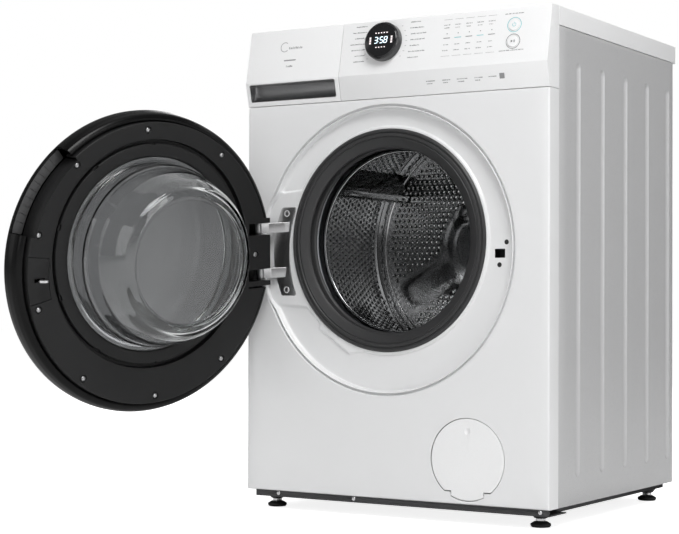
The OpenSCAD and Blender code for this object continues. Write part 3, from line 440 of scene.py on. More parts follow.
def white_enamel():
    m = surface("white_enamel", (0.80, 0.803, 0.808), 0.24, 0.008, 0.03, 900, 0.012, 2.5, coat=0.35)
    m.set(IOR=1.5)
    return m.material


def side_enamel():
    return surface("side_enamel", (0.50, 0.50, 0.505), 0.3, 0.012, 0.04, 900, 0.015, 2.5, coat=0.2).material


def white_plastic():
    m = surface("white_plastic", (0.87, 0.872, 0.875), 0.3, 0.006, 0.04, 1200, 0.01, 3.0, coat=0.25)
    return m.material


def zinc():
    m = Nodes("galvanised_zinc")
    m.set(Metallic=1.0)
    cells = m.new("ShaderNodeTexVoronoi")
    cells.inputs["Scale"].default_value = 55
    m.link(m.place, cells.inputs["Vector"])
    tone = m.noise(8, 4)
    grey = m.blend(m.span(cells.outputs["Distance"], 0, 0.9, 0, 1), (0.62, 0.63, 0.65), (0.42, 0.43, 0.45))
    m.link(m.blend(m.math("MULTIPLY", tone, 0.5), grey, (0.7, 0.7, 0.72)), m.shader.inputs["Base Color"])
    m.link(m.span(tone, 0.2, 0.8, 0.34, 0.52), m.shader.inputs["Roughness"])
    m.bump(m.noise(600, 2), 0.03)
    return m.material


def plastic(name, colour, rough, grain=1500, bump=0.04, coat=0.0, shine=0.5):
    m = surface(name, colour, rough, 0.06, 0.06, grain, bump, 5, coat=coat)
    m.set(Specular_IOR_Level=shine)
    return m.material


def metal(name, colour, rough, grain=900, bump=0.03):
    return surface(name, colour, rough, 0.05, 0.07, grain, bump, 12, metallic=1.0).material


def drum_steel():
    return surface("drum_stainless", (0.44, 0.444, 0.448), 0.13, 0.05, 0.05, 500, 0.02, 9, metallic=1.0,
                   stretch=(1, 6, 1)).material


def gasket_rubber():
    m = surface("door_boot_rubber", (0.034, 0.034, 0.035), 0.42, 0.08, 0.08, 700, 0.05, 14)
    m.set(Specular_IOR_Level=0.4)
    return m.material


def clear_glass():
    m = Nodes("pressed_glass")
    m.set(Transmission_Weight=1.0, IOR=1.46, Base_Color=(0.9, 0.92, 0.92, 1))
    m.link(m.span(m.noise(40, 2), 0.3, 0.7, 0.0, 0.02), m.shader.inputs["Roughness"])
    m.bump(m.noise(6, 1), 0.012)
    return m.material


def tinted_glass():
    m = Nodes("smoked_window")
    m.set(Transmission_Weight=1.0, IOR=1.45)
    m.link(m.blend(m.noise(3, 1), (0.10, 0.10, 0.103), (0.13, 0.13, 0.134)), m.shader.inputs["Base Color"])
    m.link(m.span(m.noise(30, 2), 0.3, 0.7, 0.01, 0.05), m.shader.inputs["Roughness"])
    return m.material


def display_glass():
    return surface("display_black", (0.004, 0.004, 0.005), 0.06, 0.2, 0.03, 300, 0.004, 6, coat=1.0).material


def glow(name, colour, strength):
    m = Nodes(name)
    m.set(Base_Color=(*colour, 1), Emission_Color=(*colour, 1))
    uneven = m.span(m.noise(900, 2), 0.2, 0.8, strength * 0.85, strength * 1.1)
    m.link(uneven, m.shader.inputs["Emission Strength"])
    return m.material


FLOOR_GLOW = 0.85


def pale_floor():
    m = surface("pale_floor", (0.9, 0.9, 0.9), 0.9, 0.01, 0.05, 40, 0.01, 1)
    m.set(Specular_IOR_Level=0.0, Emission_Color=(1, 1, 1, 1))
    seen = m.new("ShaderNodeLightPath").outputs["Is Camera Ray"]
    m.link(m.math("MULTIPLY", seen, FLOOR_GLOW), m.shader.inputs["Emission Strength"])
    return m.material


def make_materials():
    return {
        "enamel": white_enamel(),
        "side": side_enamel(),
        "plastic": white_plastic(),
        "zinc": zinc(),
        "base": plastic("dark_base_plastic", (0.035, 0.035, 0.037), 0.5),
        "housing": plastic("off_white_plastic", (0.6, 0.6, 0.6), 0.45),
        "gasket": gasket_rubber(),
        "drum": drum_steel(),
        "bright": metal("zinc_plate", (0.72, 0.72, 0.73), 0.24),
        "hinge": metal("satin_hinge", (0.48, 0.48, 0.485), 0.32, 1400, bump=0.06),
        "door": plastic("gloss_black_plastic", (0.002, 0.002, 0.0021), 0.26, 2200, 0.015, shine=0.2),
        "frame": plastic("door_frame_grey", (0.011, 0.011, 0.0113), 0.5, 2600, 0.05, shine=0.3),
        "glass": clear_glass(),
        "window": tinted_glass(),
        "grip": plastic("grip_grey", (0.06, 0.06, 0.061), 0.5),
        # A darker grey metal: in the drawer scoop it is painted shade and reflection, on the hinge screw
        # heads it is their own metal colour.
        "scoop": metal("scoop_shade_and_screw_metal", (0.34, 0.34, 0.345), 0.34, 1400, bump=0.02),
        "black": plastic("matte_black_plastic", (0.012, 0.012, 0.012), 0.5),
        "dial": plastic("dial_black", (0.014, 0.014, 0.015), 0.25, 2000, 0.02, 0.4),
        "display": display_glass(),
        "tub": plastic("tub_polypropylene", (0.42, 0.43, 0.45), 0.55),
        "cast": plastic("cast_weight", (0.2, 0.2, 0.195), 0.85, 300, 0.3),
        "motor": metal("die_cast", (0.3, 0.31, 0.32), 0.5, 500, bump=0.1),
        "spider": metal("as_cast", (0.5, 0.51, 0.52), 0.45, 400, bump=0.1),
        "belt": plastic("belt_rubber", (0.02, 0.02, 0.02), 0.7),
        "board": plastic("board_tray", (0.03, 0.08, 0.045), 0.5),
        "foot": plastic("foot_rubber", (0.012, 0.012, 0.012), 0.6),
        "print": plastic("grey_print", (0.10, 0.10, 0.105), 0.6),
        "print_pale": plastic("pale_print", (0.27, 0.27, 0.275), 0.6),
        "turquoise": plastic("turquoise_print", (0.12, 0.5, 0.54), 0.5),
        "glow": glow("display_digits", (0.72, 0.9, 1.0), 1.6),
        "glow_warm": glow("display_icons", (0.95, 0.85, 0.85), 0.8),
        "floor": pale_floor(),
    }


# ---------- front panel and door recess ----------

PANEL_STEPS = 720
FLOOR_RINGS = 34
PAD_HEIGHT = 3.0
PAD_EDGE = 1.7
LIP_LEDGE_R = 197.0
# Outlines of the two raised pads, from the drum's axis.
HINGE_PAD = [(-262, 78), (-241, 74), (-221, 88), (-179, 92), (-120, 60), (-120, -90), (-141, -136),
             (-161, -116), (-219, -112), (-262, -104)]
LOWER_LEDGE = [(-133, -128), (-137, -153), (-108, -173), (-76, -196), (-52, -193), (-30, -160), (-90, -120)]


def edge_distance(px, pz, polygon):
    """Signed distance from points to a polygon's outline, negative inside."""
    best = np.full(px.shape, 1e9)
    inside = np.zeros(px.shape, bool)
    for i, (ax, az) in enumerate(polygon):
        bx, bz = polygon[(i + 1) % len(polygon)]
        ex, ez = bx - ax, bz - az
        along = np.clip(((px - ax) * ex + (pz - az) * ez) / (ex * ex + ez * ez), 0, 1)
        best = np.minimum(best, np.hypot(px - ax - along * ex, pz - az - along * ez))
        crosses = (az > pz) != (bz > pz)
        slope = ex / ez if ez else 0.0
        inside ^= crosses & (px < ax + (pz - az) * slope)
    return np.where(inside, -best, best)


def pad_height(x, z):
    """How far the pressed pads round the mouth stand out of the recess floor, from 0 to PAD_HEIGHT."""
    dx, dz = x - AXIS_X, z - AXIS_Z
    far = np.hypot(dx, dz) - LIP_LEDGE_R
    for polygon in (HINGE_PAD, LOWER_LEDGE):
        near = edge_distance(dx, dz, polygon)
        mix = np.clip(0.5 + (near - far) / 12, 0, 1)
        far = near + (far - near) * mix - 6 * mix * (1 - mix)
    t = np.clip(0.5 - far / (2 * PAD_EDGE), 0, 1)
    return PAD_HEIGHT * t * t * (3 - 2 * t)


def panel_angles(x0, x1, z0, z1):
    """Even angles about the door's axis, with the nearest ones moved onto the panel's corners."""
    t = np.arange(PANEL_STEPS) * 2 * math.pi / PANEL_STEPS
    for cx, cz in ((x0, z0), (x1, z0), (x1, z1), (x0, z1)):
        corner = math.atan2(cz - DOOR_Z, cx - AXIS_X) % (2 * math.pi)
        t[np.argmin(np.abs(t - corner))] = corner
    return t


def rectangle_ring(t, x0, x1, z0, z1):
    """Points where rays from the door's axis meet a rectangle, and the outward directions there."""
    dx, dz = np.cos(t), np.sin(t)
    reach_x = np.where(dx > 0, x1 - AXIS_X, x0 - AXIS_X) / np.where(np.abs(dx) < 1e-9, 1e-9, dx)
    reach_z = np.where(dz > 0, z1 - DOOR_Z, z0 - DOOR_Z) / np.where(np.abs(dz) < 1e-9, 1e-9, dz)
    reach = np.minimum(np.abs(reach_x), np.abs(reach_z))
    side = np.where(np.abs(np.abs(reach_x) - reach) < 1e-3, np.sign(dx), 0)
    end = np.where(np.abs(np.abs(reach_z) - reach) < 1e-3, np.sign(dz), 0)
    return AXIS_X + reach * dx, DOOR_Z + reach * dz, side, end


WALL_LIP = 3.0
WALL_FOOT = 14.0
HINGE_SPAN, HINGE_FADE = math.radians(18), math.radians(8)
HINGE_SQUEEZE = 0.85


def wall_squeeze(t):
    """The recess wall's width as a share: narrow beside the hinge, where the door's blocks pass it."""
    away = np.abs(np.arctan2(-np.sin(t), -np.cos(t)))
    near = 1 - np.clip((away - HINGE_SPAN) / HINGE_FADE, 0, 1)
    return 1 - HINGE_SQUEEZE * near * near * (3 - 2 * near)


def recess_rings(t):
    """Rings of (x, y, z) from the mouth, over the recess floor and up its wall to the panel's face."""
    rings = []
    c, s = np.cos(t), np.sin(t)
    for r, y in ((MOUTH_R + 0.6, 6.0), (MOUTH_R + 0.6, 2.0), (MOUTH_R + 1.2, 0.7), (MOUTH_R + 3.0, 0.0)):
        x, z = AXIS_X + r * c, AXIS_Z + r * s
        rings.append((x, RECESS_Y + y - pad_height(x, z), z))
    squeeze = wall_squeeze(t)
    inner, outer = MOUTH_R + 3.0, RECESS_R + WALL_LIP - (WALL_LIP + WALL_FOOT) * squeeze
    for k in range(1, FLOOR_RINGS + 1):
        f = k / FLOOR_RINGS
        x = AXIS_X + (inner + (outer - inner) * f) * c
        z = AXIS_Z + (DOOR_Z - AXIS_Z) * f + (inner + (outer - inner) * f) * s
        rings.append((x, RECESS_Y - pad_height(x, z), z))
    wall = fillet([
        (-WALL_FOOT, RECESS_DEPTH), (-8.2, RECESS_DEPTH, 4.5), (-6.6, 0.4, 1.6), (-5.2, 0.4, 0.6),
        (-4.8, 7.0, 0.5), (-1.5, 7.0, 0.5), (-0.8, 0.0, 0.8), (WALL_LIP, 0),
    ], steps=5, closed=False)
    lift = pad_height(rings[-1][0], rings[-1][2]) / RECESS_DEPTH
    for offset, depth in wall[1:]:
        r = RECESS_R + WALL_LIP - (WALL_LIP - offset) * squeeze
        rings.append((AXIS_X + r * c, FRONT + depth * (1 - lift), DOOR_Z + r * s))
    return rings


def panel_face_rings(t):
    """Rings from the recess out to the panel's edges, round them and back along the returns."""
    rings = []
    limits = (LEFT + SIDE_ROUND, RIGHT - SIDE_ROUND, BASE_Z + SIDE_ROUND, PANEL_TOP - TOP_ROUND)
    x1, z1, side, end = rectangle_ring(t, *limits)
    r0 = RECESS_R + 6.5
    x0, z0 = AXIS_X + r0 * np.cos(t), DOOR_Z + r0 * np.sin(t)
    for f in (0.08, 0.25, 0.5, 0.75, 1.0):
        rings.append((x0 + (x1 - x0) * f, np.full_like(t, FRONT), z0 + (z1 - z0) * f))
    up = np.where(end > 0, TOP_ROUND, SIDE_ROUND)
    inward = np.where(side != 0, SIDE_ROUND, up)
    for k in range(1, 6):
        a = math.pi / 2 * k / 5
        out, back = math.sin(a), 1 - math.cos(a)
        rings.append((x1 + side * SIDE_ROUND * out, FRONT + inward * back, z1 + end * up * out))
    x, _, z = rings[-1]
    rings.append((x, np.where(side != 0, WRAP, FRONT + 22.0), z))
    return rings


SIDE_ROUND, TOP_ROUND = 3.0, 0.8
SHEET = 0.8
LATCH_SLOT = (9.5, 7.5)
LATCH_HOLES = [(12, 18.5), (-1, -19)]
LATCH_HOLE_R = 4.2
FLAP_GAP = 0.9


def panel_holes():
    """Cutters for the latch slot, its two fixing holes and the flap's opening, which keeps two tabs."""
    near, far = RECESS_Y - 6, RECESS_Y + 6
    w, h = LATCH_SLOT
    slot = rounded_rect(LATCH_X - w, LATCH_X + w, LATCH_Z - h, LATCH_Z + h, 1.2)
    holes = [prism("slot", slot, "Y", near, far, 0)]
    for dx, dz in LATCH_HOLES:
        holes.append(round_cutter(LATCH_X + dx, LATCH_Z + dz, LATCH_HOLE_R, near, far))
    pin_z = joint_point("flap_hinge")[2]
    tabs = []
    for side in (-1, 1):
        x = sorted((FLAP_X + side * 31.4, FLAP_X + side * 72))
        tabs.append(block("tab", x, (FRONT - 8, FRONT + 12), (pin_z - 20, pin_z + 3.6), 0))
    flap_hole = round_cutter(FLAP_X, FLAP_Z, FLAP_R + FLAP_GAP, FRONT - 3, FRONT + 6, 160)
    return holes + [cut(flap_hole, tabs)]


def front_panel(m):
    t = panel_angles(LEFT + SIDE_ROUND, RIGHT - SIDE_ROUND, BASE_Z + SIDE_ROUND, PANEL_TOP - TOP_ROUND)
    rings = recess_rings(t) + panel_face_rings(t)
    verts = np.concatenate([np.stack([x, y, z], 1) for x, y, z in rings])
    panel = make_mesh("front_panel_pressing", verts, grid_faces(len(rings), PANEL_STEPS, True), angle=40)
    thicken(panel, SHEET)
    cut(panel, panel_holes())
    return fit(panel, "root", "white_paint", m["enamel"], "front_panel", "door_recess")


def round_cutter(x, z, r, low, high, steps=40):
    ring = [polar(r, 2 * math.pi * k / steps, x, z) for k in range(steps)]
    return prism("cutter", ring, "Y", low, high, 0)


def thicken(piece, width):
    """Gives an open sheet its thickness, inwards."""
    modifier = piece.modifiers.new("sheet", "SOLIDIFY")
    modifier.thickness = width * MM
    modifier.offset = -1.0
    apply_modifiers(piece)
    piece.data.set_sharp_from_angle(angle=math.radians(40))


# ---------- side panels ----------

GROOVE_BALL, GROOVE_OUT = 12.5, 8.0
GROOVE_LOW, GROOVE_HIGH = 88.0, 760.0
GROOVE_FIRST, GROOVE_PITCH, GROOVES = FRONT + 112.0, 101.0, 5


def groove_depth(y, z):
    """Depth of the capsule grooves, with a small radius where they run out into the sheet."""
    depth = np.zeros_like(y)
    for i in range(GROOVES):
        dy = y - (GROOVE_FIRST + i * GROOVE_PITCH)
        dz = np.maximum(0, np.maximum(GROOVE_LOW - z, z - GROOVE_HIGH))
        d = np.hypot(dy, dz)
        ball = np.sqrt(np.maximum(0, GROOVE_BALL**2 - d**2)) - GROOVE_OUT
        depth = np.maximum(depth, np.where(d < GROOVE_BALL, soft_positive(ball, 0.35), 0))
    return depth


def soft_positive(value, radius):
    """The value where it is positive, with a small radius where it comes up from nothing."""
    eased = radius * np.log1p(np.exp(np.minimum(value, 4 * radius) / radius))
    return np.where(value > 4 * radius, value, eased)


def spread(low, high, centres, reach, fine, coarse):
    """Grid lines from low to high, fine within reach of each centre and coarse elsewhere."""
    lines = {low, high}
    for c in centres:
        lines.update(np.round(np.arange(c - reach, c + reach + fine / 2, fine), 4))
    lines.update(np.round(np.arange(low, high, coarse), 4))
    lines = sorted(v for v in lines if low <= v <= high)
    return np.array([v for i, v in enumerate(lines) if i == 0 or v - lines[i - 1] > fine * 0.4])


def side_panel(name, node, side, m):
    low_y, high_y = WRAP + 0.6, node_box(node)[1][1]
    low_z, high_z = BASE_Z, node_box(node)[1][2]
    centres = [GROOVE_FIRST + i * GROOVE_PITCH for i in range(GROOVES)]
    ys = spread(low_y + 1.2, high_y - 2.5, centres, 14, 0.75, 30)
    zs = spread(low_z + 1.2, high_z - 1.2, [GROOVE_LOW - 8, GROOVE_HIGH + 8], 14, 1.4, 60)
    ys = np.concatenate([[low_y], [low_y + 0.4], ys, [high_y - 1.2, high_y - 0.2, high_y]])
    inset = np.concatenate([[1.6], [0.5], np.zeros(len(ys) - 5), [0.35, 1.6, 2.6]])
    zs = np.concatenate([[low_z], zs, [high_z]])
    inset_z = np.concatenate([[0.8], np.zeros(len(zs) - 2), [0.8]])
    yy, zz = np.meshgrid(ys, zs)
    depth = groove_depth(yy, zz) + inset[None, :] + inset_z[:, None]
    xx = side * (RIGHT - depth)
    verts = np.stack([xx, yy, zz], -1).reshape(-1, 3)
    panel = make_mesh(name, verts, grid_faces(len(zs), len(ys)), angle=50)
    face_outward(panel, Vector((side, 0, 0)))
    thicken(panel, SHEET)
    return fit(panel, "root", "grey_paint", m["side"], node)


def face_outward(piece, direction):
    """Turns an open sheet's normals to the given side."""
    bm = bmesh.new()
    bm.from_mesh(piece.data)
    total = sum((f.normal * f.calc_area() for f in bm.faces), Vector())
    if total.dot(direction) < 0:
        bmesh.ops.reverse_faces(bm, faces=bm.faces)
    bm.to_mesh(piece.data)
    bm.free()


# ---------- worktop and feet ----------


def worktop(m):
    low_y, high_y = LID_LOW[1], LID_HIGH[1]
    corners = [(LEFT, low_y, 0.4), (RIGHT, low_y, 0.4), (RIGHT, high_y, 9), (LEFT, high_y, 9)]
    outline = fillet(corners, steps=8)
    lid = prism("worktop_moulding", outline, "Z", LID_LOW[2], TOP, 2.6, 5)
    well = block("well", (LEFT + 5, RIGHT - 5), (low_y - 20, high_y - 5), (LID_LOW[2] - 10, TOP - 16), 2)
    cut(lid, [well])
    return fit(lid, "root", "white_plastic", m["plastic"], "top_cover")


def foot(node, body, m):
    low, high = node_box(node)
    x, y = (low[0] + high[0]) / 2, (low[1] + high[1]) / 2
    pad = fillet([
        (0, 0), (15.3, 0, 0.8), (17, 2.4, 0.8), (17, 5.4, 1.2), (11, 9, 1.2), (5.2, 9.6, 0.6),
        (4.9, 10.2, 0.1),
    ], steps=4, closed=False)
    root, crest, half_pitch = 4.35, 4.95, 0.75
    turns = int((high[2] - 11.2) / half_pitch)
    thread = [(root if k % 2 else crest, 10.6 + k * half_pitch) for k in range(turns)]
    profile = pad + thread + [(4.2, high[2]), (0, high[2])]
    piece = turned_up("foot_" + body, profile, Matrix.Translation((x, y, 0)), 64, closed=False, angle=30)
    return fit(piece, body, "foot_rubber", m["foot"], node)


def hexagon(r, x, y):
    return [polar(r, math.pi / 3 * k, x, y) for k in range(6)]


def lock_nuts(m):
    low, high = node_box("foot_lock_nuts")
    nuts = []
    for body in ("foot_front_left", "foot_front_right", "foot_rear_left", "foot_rear_right"):
        a, b = node_box(body)
        x, y = (a[0] + b[0]) / 2, (a[1] + b[1]) / 2
        nuts.append(prism("nut", hexagon(8.9, x, y), "Z", low[2], high[2] - 0.1, 0.7, 3))
    return fit(merged("foot_lock_nut_set", nuts), "root", "bright_steel", m["bright"], "foot_lock_nuts")


# ---------- screws ----------


def screw_head(r, h, place, slot=True):
    """A domed cross-head screw along +Z, its seat at the origin."""
    dome = [(0, h)]
    for k in range(1, 7):
        a = math.pi / 2 * k / 6
        dome.append((r * math.sin(a), h * (0.35 + 0.65 * math.cos(a))))
    profile = dome + [(r, 0.0), (r * 0.45, 0.0), (r * 0.45, -3.0), (0, -3.0)]
    piece = turned_up("screw", profile, Matrix.Identity(4), 32, closed=False)
    if slot:
        long, short, deep = (-r * 0.62, r * 0.62), (-0.42, 0.42), (h * 0.45, h + 1)
        cut(piece, [block("bar", *arms, deep, 0.05, 1) for arms in ((long, short), (short, long))])
    piece.data.transform(Matrix.Scale(MM, 4) @ place @ Matrix.Scale(1 / MM, 4))
    return piece


def facing(x, y, z, towards):
    """A frame at a point with +Z along -Y (towards -1) or +Y (towards 1), turned a little for variety."""
    turn = Matrix.Rotation(math.pi / 2 * -towards, 4, "X")
    spin = Matrix.Rotation((x * 0.37 + z * 0.11) % math.pi, 4, "Z")
    return Matrix.Translation((x, y, z)) @ turn @ spin


HINGE_SCREW_X = HINGE[0] + 36.0
HINGE_SCREWS_Z = (DOOR_Z - 68, DOOR_Z + 68)


def hinge_screws(m):
    heads = [screw_head(4.4, 2.3, facing(HINGE_SCREW_X, RECESS_Y - 2.0, z, -1)) for z in HINGE_SCREWS_Z]
    return fit(merged("hinge_screw_heads", heads), "root", "bright_steel", m["scoop"])


def cabinet_screws(m):
    heads = []
    for x in (-231, -74, 281):
        heads.append(screw_head(3.5, 1.7, facing(x, FRONT + 3, 28.4, -1)))
    for i in range(6):
        x, z = polar(194, math.radians(30 + 60 * i), AXIS_X, AXIS_Z)
        heads.append(screw_head(4.2, 1.9, facing(x, 274.8, z, 1)))
    for x in (-220, 220):
        heads.append(screw_head(4.2, 2.1, facing(x, 273.0, LID_LOW[2] - 12, 1)))
    return fit(merged("cabinet_screw_heads", heads), "root", "bright_steel", m["bright"], "cabinet_screws")


# ---------- control fascia ----------


def fascia_profile(top_round=3.2, low_round=1.6):
    """The fascia's outline in (y, z): top edge, slanted face, rounded crease and the tuck-back below it."""
    return fillet([
        (WRAP, TOP, 0.4), (WRAP, FASCIA_Z, 0.4), (FRONT, FASCIA_Z, low_round), (CREASE_Y, CREASE_Z, 3.4),
        (TOP_Y, TOP, top_round),
    ], steps=8)


def well_cutter(x, z, r, depth, steps=96):
    profile = [(0, -depth), (r, -depth), (r, 4), (0, 4)]
    return turned_up("cutter", profile, slant_frame(x, z), steps, closed=False)


def fascia(m):
    body = prism("control_fascia_moulding", fascia_profile(), "X", SPLIT_X + 0.5, RIGHT, 1.8, 5)
    hollow = prism("hollow", fillet([
        (WRAP + 5, TOP - 3), (TOP_Y + 6, TOP - 3), (CREASE_Y + 5, CREASE_Z), (FRONT + 4, FASCIA_Z + 3),
        (WRAP + 5, FASCIA_Z + 3),
    ], 1), "X", SPLIT_X + 4, RIGHT - 3, 0)
    cutters = [hollow, well_cutter(DIAL_X, DIAL_Z, DIAL_R - 3, 14)]
    for z in (POWER_Z, START_Z):
        cutters.append(well_cutter(BUTTON_X, z, 10.45, 14, 72))
    cut(body, cutters)
    rear = block("drawer_surround", (LEFT, SPLIT_X + 2), (FRONT + 15, WRAP), (FASCIA_Z, TOP), 1.2)
    cut(rear, [
        block("c", (LEFT + 3, -107), (FRONT + 10, WRAP + 5), (729, 803), 1.0),
        block("c", (LEFT + 3, -107), (FRONT + 10, WRAP + 5), (808, TOP - 3), 0.5),
    ])
    fascia_piece = merged("control_fascia_moulding", [body, rear])
    return fit(fascia_piece, "root", "white_plastic", m["plastic"], "control_fascia")


# ---------- printed marks on the fascia ----------

PRINT_H = 0.12
PRINT_SINK = 0.06


def printed(outline, place, name="mark"):
    """A thin printed patch, sunk a little into the face under it."""
    return prism(name, outline, "Z", -PRINT_SINK, PRINT_H, 0.02, 1, place=place)


def mark(x, z, width, height):
    """A printed bar on the slanted face, centred on (x, z)."""
    outline = rounded_rect(-width / 2, width / 2, -height / 2, height / 2, min(width, height) * 0.2, 2)
    return printed(outline, slant_frame(x, z))


def word(rng, x, z, width, height=1.9, align="left"):
    """A row of unreadable short bars that stands for a printed label."""
    pieces = []
    start = x if align == "left" else x - width
    cursor = 0.0
    while cursor < width - 0.8:
        letter = rng.uniform(0.7, 1.25)
        tall = height * rng.choice((0.72, 0.72, 1.0))
        pieces.append(mark(start + cursor + letter / 2, z + (tall - height * 0.72) / 2, letter, tall))
        cursor += letter + rng.choice((0.4, 0.4, 0.4, 1.3))
    return pieces


def ring_mark(x, z, r, width, steps=72, start=0.0, sweep=2 * math.pi):
    """A thin printed ring or arc on the slanted face."""
    full = sweep > 6.28
    n = steps + (0 if full else 1)
    inner, outer = r - width / 2, r + width / 2
    band = [(inner, -PRINT_SINK), (inner, PRINT_H), (outer, PRINT_H), (outer, -PRINT_SINK)]
    verts = []
    for k in range(n):
        t = start + sweep * k / steps
        verts += [(radius * math.cos(t), radius * math.sin(t), h) for radius, h in band]
    faces = grid_faces(n, 4, wrap_columns=True, wrap_rows=full)
    if not full:
        faces += [(0, 1, 2, 3), tuple(len(verts) - 4 + k for k in range(4))]
    return make_mesh("ring_mark", verts, faces, 60, slant_frame(x, z))


PROGRAMMES = 7


def programme_labels(rng):
    """A column of labels on each side of the dial, the middle ones a little further out."""
    pieces = []
    for i, z in enumerate(np.linspace(846.0, 784.0, PROGRAMMES)):
        out = 2 if abs(i - 3) < 2 else 0
        pieces += word(rng, -51 - out, z, rng.uniform(19, 30), 1.9, "right")
        pieces += word(rng, 35 + out, z, rng.uniform(18, 32), 1.9)
    return pieces


def tick_marks():
    pieces = []
    for z in np.linspace(841.0, 788.0, PROGRAMMES):
        reach = math.sqrt(max(0, 40.5**2 - (z - DIAL_Z) ** 2))
        for side in (-1, 1):
            pieces.append(mark(DIAL_X + side * (reach + 1.6), z, 3.2, 0.45))
    return pieces


OPTION_X, OPTION_PITCH, OPTIONS = 107.5, 21.0, 5


def option_block(rng):
    """The row of option keys right of the dial: labels, thin frame lines and five short bars."""
    grey, teal = [], []
    columns = [OPTION_X + k * OPTION_PITCH for k in range(OPTIONS)]
    for z in (844.0, 781.0):
        grey += [mark(x, z, 16, 0.35) for x in columns]
    for k, x in enumerate(columns):
        (teal if k in (1, 3) else grey).append(mark(x, 812, 12.5, 1.1))
        for left, z, width, height in ((7, 834.5, 12, 1.7), (6, 829.5, 9, 1.5), (5, 800.5, 9, 1.5)):
            grey += word(rng, x - left, z, width, height)
        grey.append(mark(x, 819.5, 1.6, 1.6))
        grey += word(rng, x - 6, 790.5, 10, 1.5)
    return grey, teal


def strip_marks(rng):
    pieces = []
    for x, width in ((72, 17), (103, 14), (131, 19), (164, 15)):
        pieces += strip_word(rng, x, 741.0, width)
        pieces += strip_word(rng, x + 1, 736.8, width * 0.6)
    pieces += strip_word(rng, 190, 741, 14)
    return pieces


def strip_frame(x, z):
    """Frame on the tuck-back strip below the crease."""
    tilt = math.atan((FRONT - CREASE_Y) / (CREASE_Z - FASCIA_Z))
    y = CREASE_Y + (CREASE_Z - z) * math.tan(tilt)
    return Matrix.Translation((x, y, z)) @ Matrix.Rotation(math.pi / 2 + tilt, 4, "X")


def strip_word(rng, x, z, width):
    pieces = []
    cursor = 0.0
    while cursor < width:
        letter = rng.uniform(0.7, 1.2)
        outline = rounded_rect(-letter / 2, letter / 2, -0.7, 0.7, 0.15, 2)
        pieces.append(printed(outline, strip_frame(x + cursor, z)))
        cursor += letter + rng.choice((0.4, 0.4, 1.2))
    return pieces


def strip_icon():
    return printed(rounded_rect(-4.6, 4.6, -4.6, 4.6, 0.8, 3), strip_frame(214, 741), "icon")


def power_glyph(x, z):
    arc = ring_mark(x, z, 3.1, 0.7, 40, math.radians(125), math.radians(290))
    return [arc, mark(x, z + 2.6, 0.7, 3.6)]


def start_glyph(x, z):
    arrow = printed([(-1.9, -2.4), (1.7, 0), (-1.9, 2.4)], slant_frame(x - 1.6, z))
    return [arrow, mark(x + 1.7, z, 0.8, 4.6), mark(x + 3.3, z, 0.8, 4.6)]


def lifted(pieces, amount):
    """Moves marks along the slanted face's normal so they sit on a raised button."""
    normal = slant_frame(0, DIAL_Z).to_3x3() @ Vector((0, 0, amount * MM))
    for piece in pieces:
        piece.data.transform(Matrix.Translation(normal))
    return pieces


def fascia_print(m):
    rng = random.Random(7)
    grey, teal = option_block(rng)
    grey += programme_labels(rng) + tick_marks() + strip_marks(rng)
    grey += [ring_mark(BUTTON_X, START_Z, 12.4, 0.9)]
    grey += word(rng, 208, 781.5, 46, 1.6)
    grey += word(rng, 214, 843.5, 34, 1.6)
    teal += [ring_mark(BUTTON_X, POWER_Z, 12.4, 0.9)]
    fit(merged("fascia_labels", grey), "root", "dial_black", m["print"])
    fit(merged("fascia_accents", teal), "root", "display", m["turquoise"])
    fit(strip_icon(), "root", "dial_black", m["print_pale"])


# ---------- buttons and dial ----------


def button(name, node, body, z, glyph, ink, m):
    rim = fillet([(8.8, 0.95), (10, 0.8, 0.9), (10, -5), (0, -5)], closed=False, steps=5)
    profile = [(0, 1.1), (6, 1.05)] + rim
    cap = turned_up(name, profile, slant_frame(BUTTON_X, z), 72, closed=False, angle=40)
    fit(cap, body, "white_plastic", m["plastic"], node)
    sign = merged(name + "_sign", lifted(glyph, 1.02))
    fit(sign, body, "dial_black", m[ink])


def selector(m):
    steps = 128
    h = DIAL_H
    profile = fillet([
        (DIAL_R - 7, 0.4), (DIAL_R - 0.2, 0.4, 0.5), (DIAL_R, 2.0, 0.4), (DIAL_R - 0.6, h - 3.2, 0.8),
        (DIAL_R - 2.2, h - 0.6, 1.4), (DIAL_R - 3.4, h - 0.6, 0.6), (DIAL_R - 3.6, h - 1.6, 0.2),
        (DIAL_R - 3.6, h - 7), (DIAL_R - 7, h - 7),
    ], steps=5)
    ring = turned_up("selector_ring", profile, slant_frame(DIAL_X, DIAL_Z), steps, closed=True, angle=40)
    fit(ring, "dial", "dial_black", m["dial"], "selector_knob")
    lens = fillet([
        (DIAL_R - 8, -3), (DIAL_R - 8, h - 6.5, 0.3), (DIAL_R - 3.9, h - 6.5, 0.3),
        (DIAL_R - 3.9, h - 1.2, 0.7), (DIAL_R - 4.8, h - 0.75, 0.5), (0, h - 0.55),
    ], steps=4, closed=False)
    glass = turned_up("display_glass", lens, slant_frame(DIAL_X, DIAL_Z), steps, closed=False, angle=40)
    fit(glass, "root", "display", m["display"], "display_lens")
    display_marks(m)


SEGMENTS = {"a": (0, 1, 1), "b": (1, 0.5, 0), "c": (1, -0.5, 0), "d": (0, -1, 1), "e": (-1, -0.5, 0),
            "f": (-1, 0.5, 0), "g": (0, 0, 1)}
DIGITS = {"3": "abgcd", "5": "afgcd", "8": "abcdefg"}


def segment(x, z, flat, length, width, lean, lift):
    """One pointed bar of a seven-segment digit, flat or upright."""
    half, w = length / 2, width / 2
    outline = [(-half, 0), (-half + w, w), (half - w, w), (half, 0), (half - w, -w), (-half + w, -w)]
    if not flat:
        outline = [(b, a) for a, b in reversed(outline)]
    outline = [(a + (b + z) * lean + x, b + z) for a, b in outline]
    return prism("segment", outline, "Z", 0, 0.12, 0, 1, place=slant_frame(DIAL_X, DIAL_Z, lift))


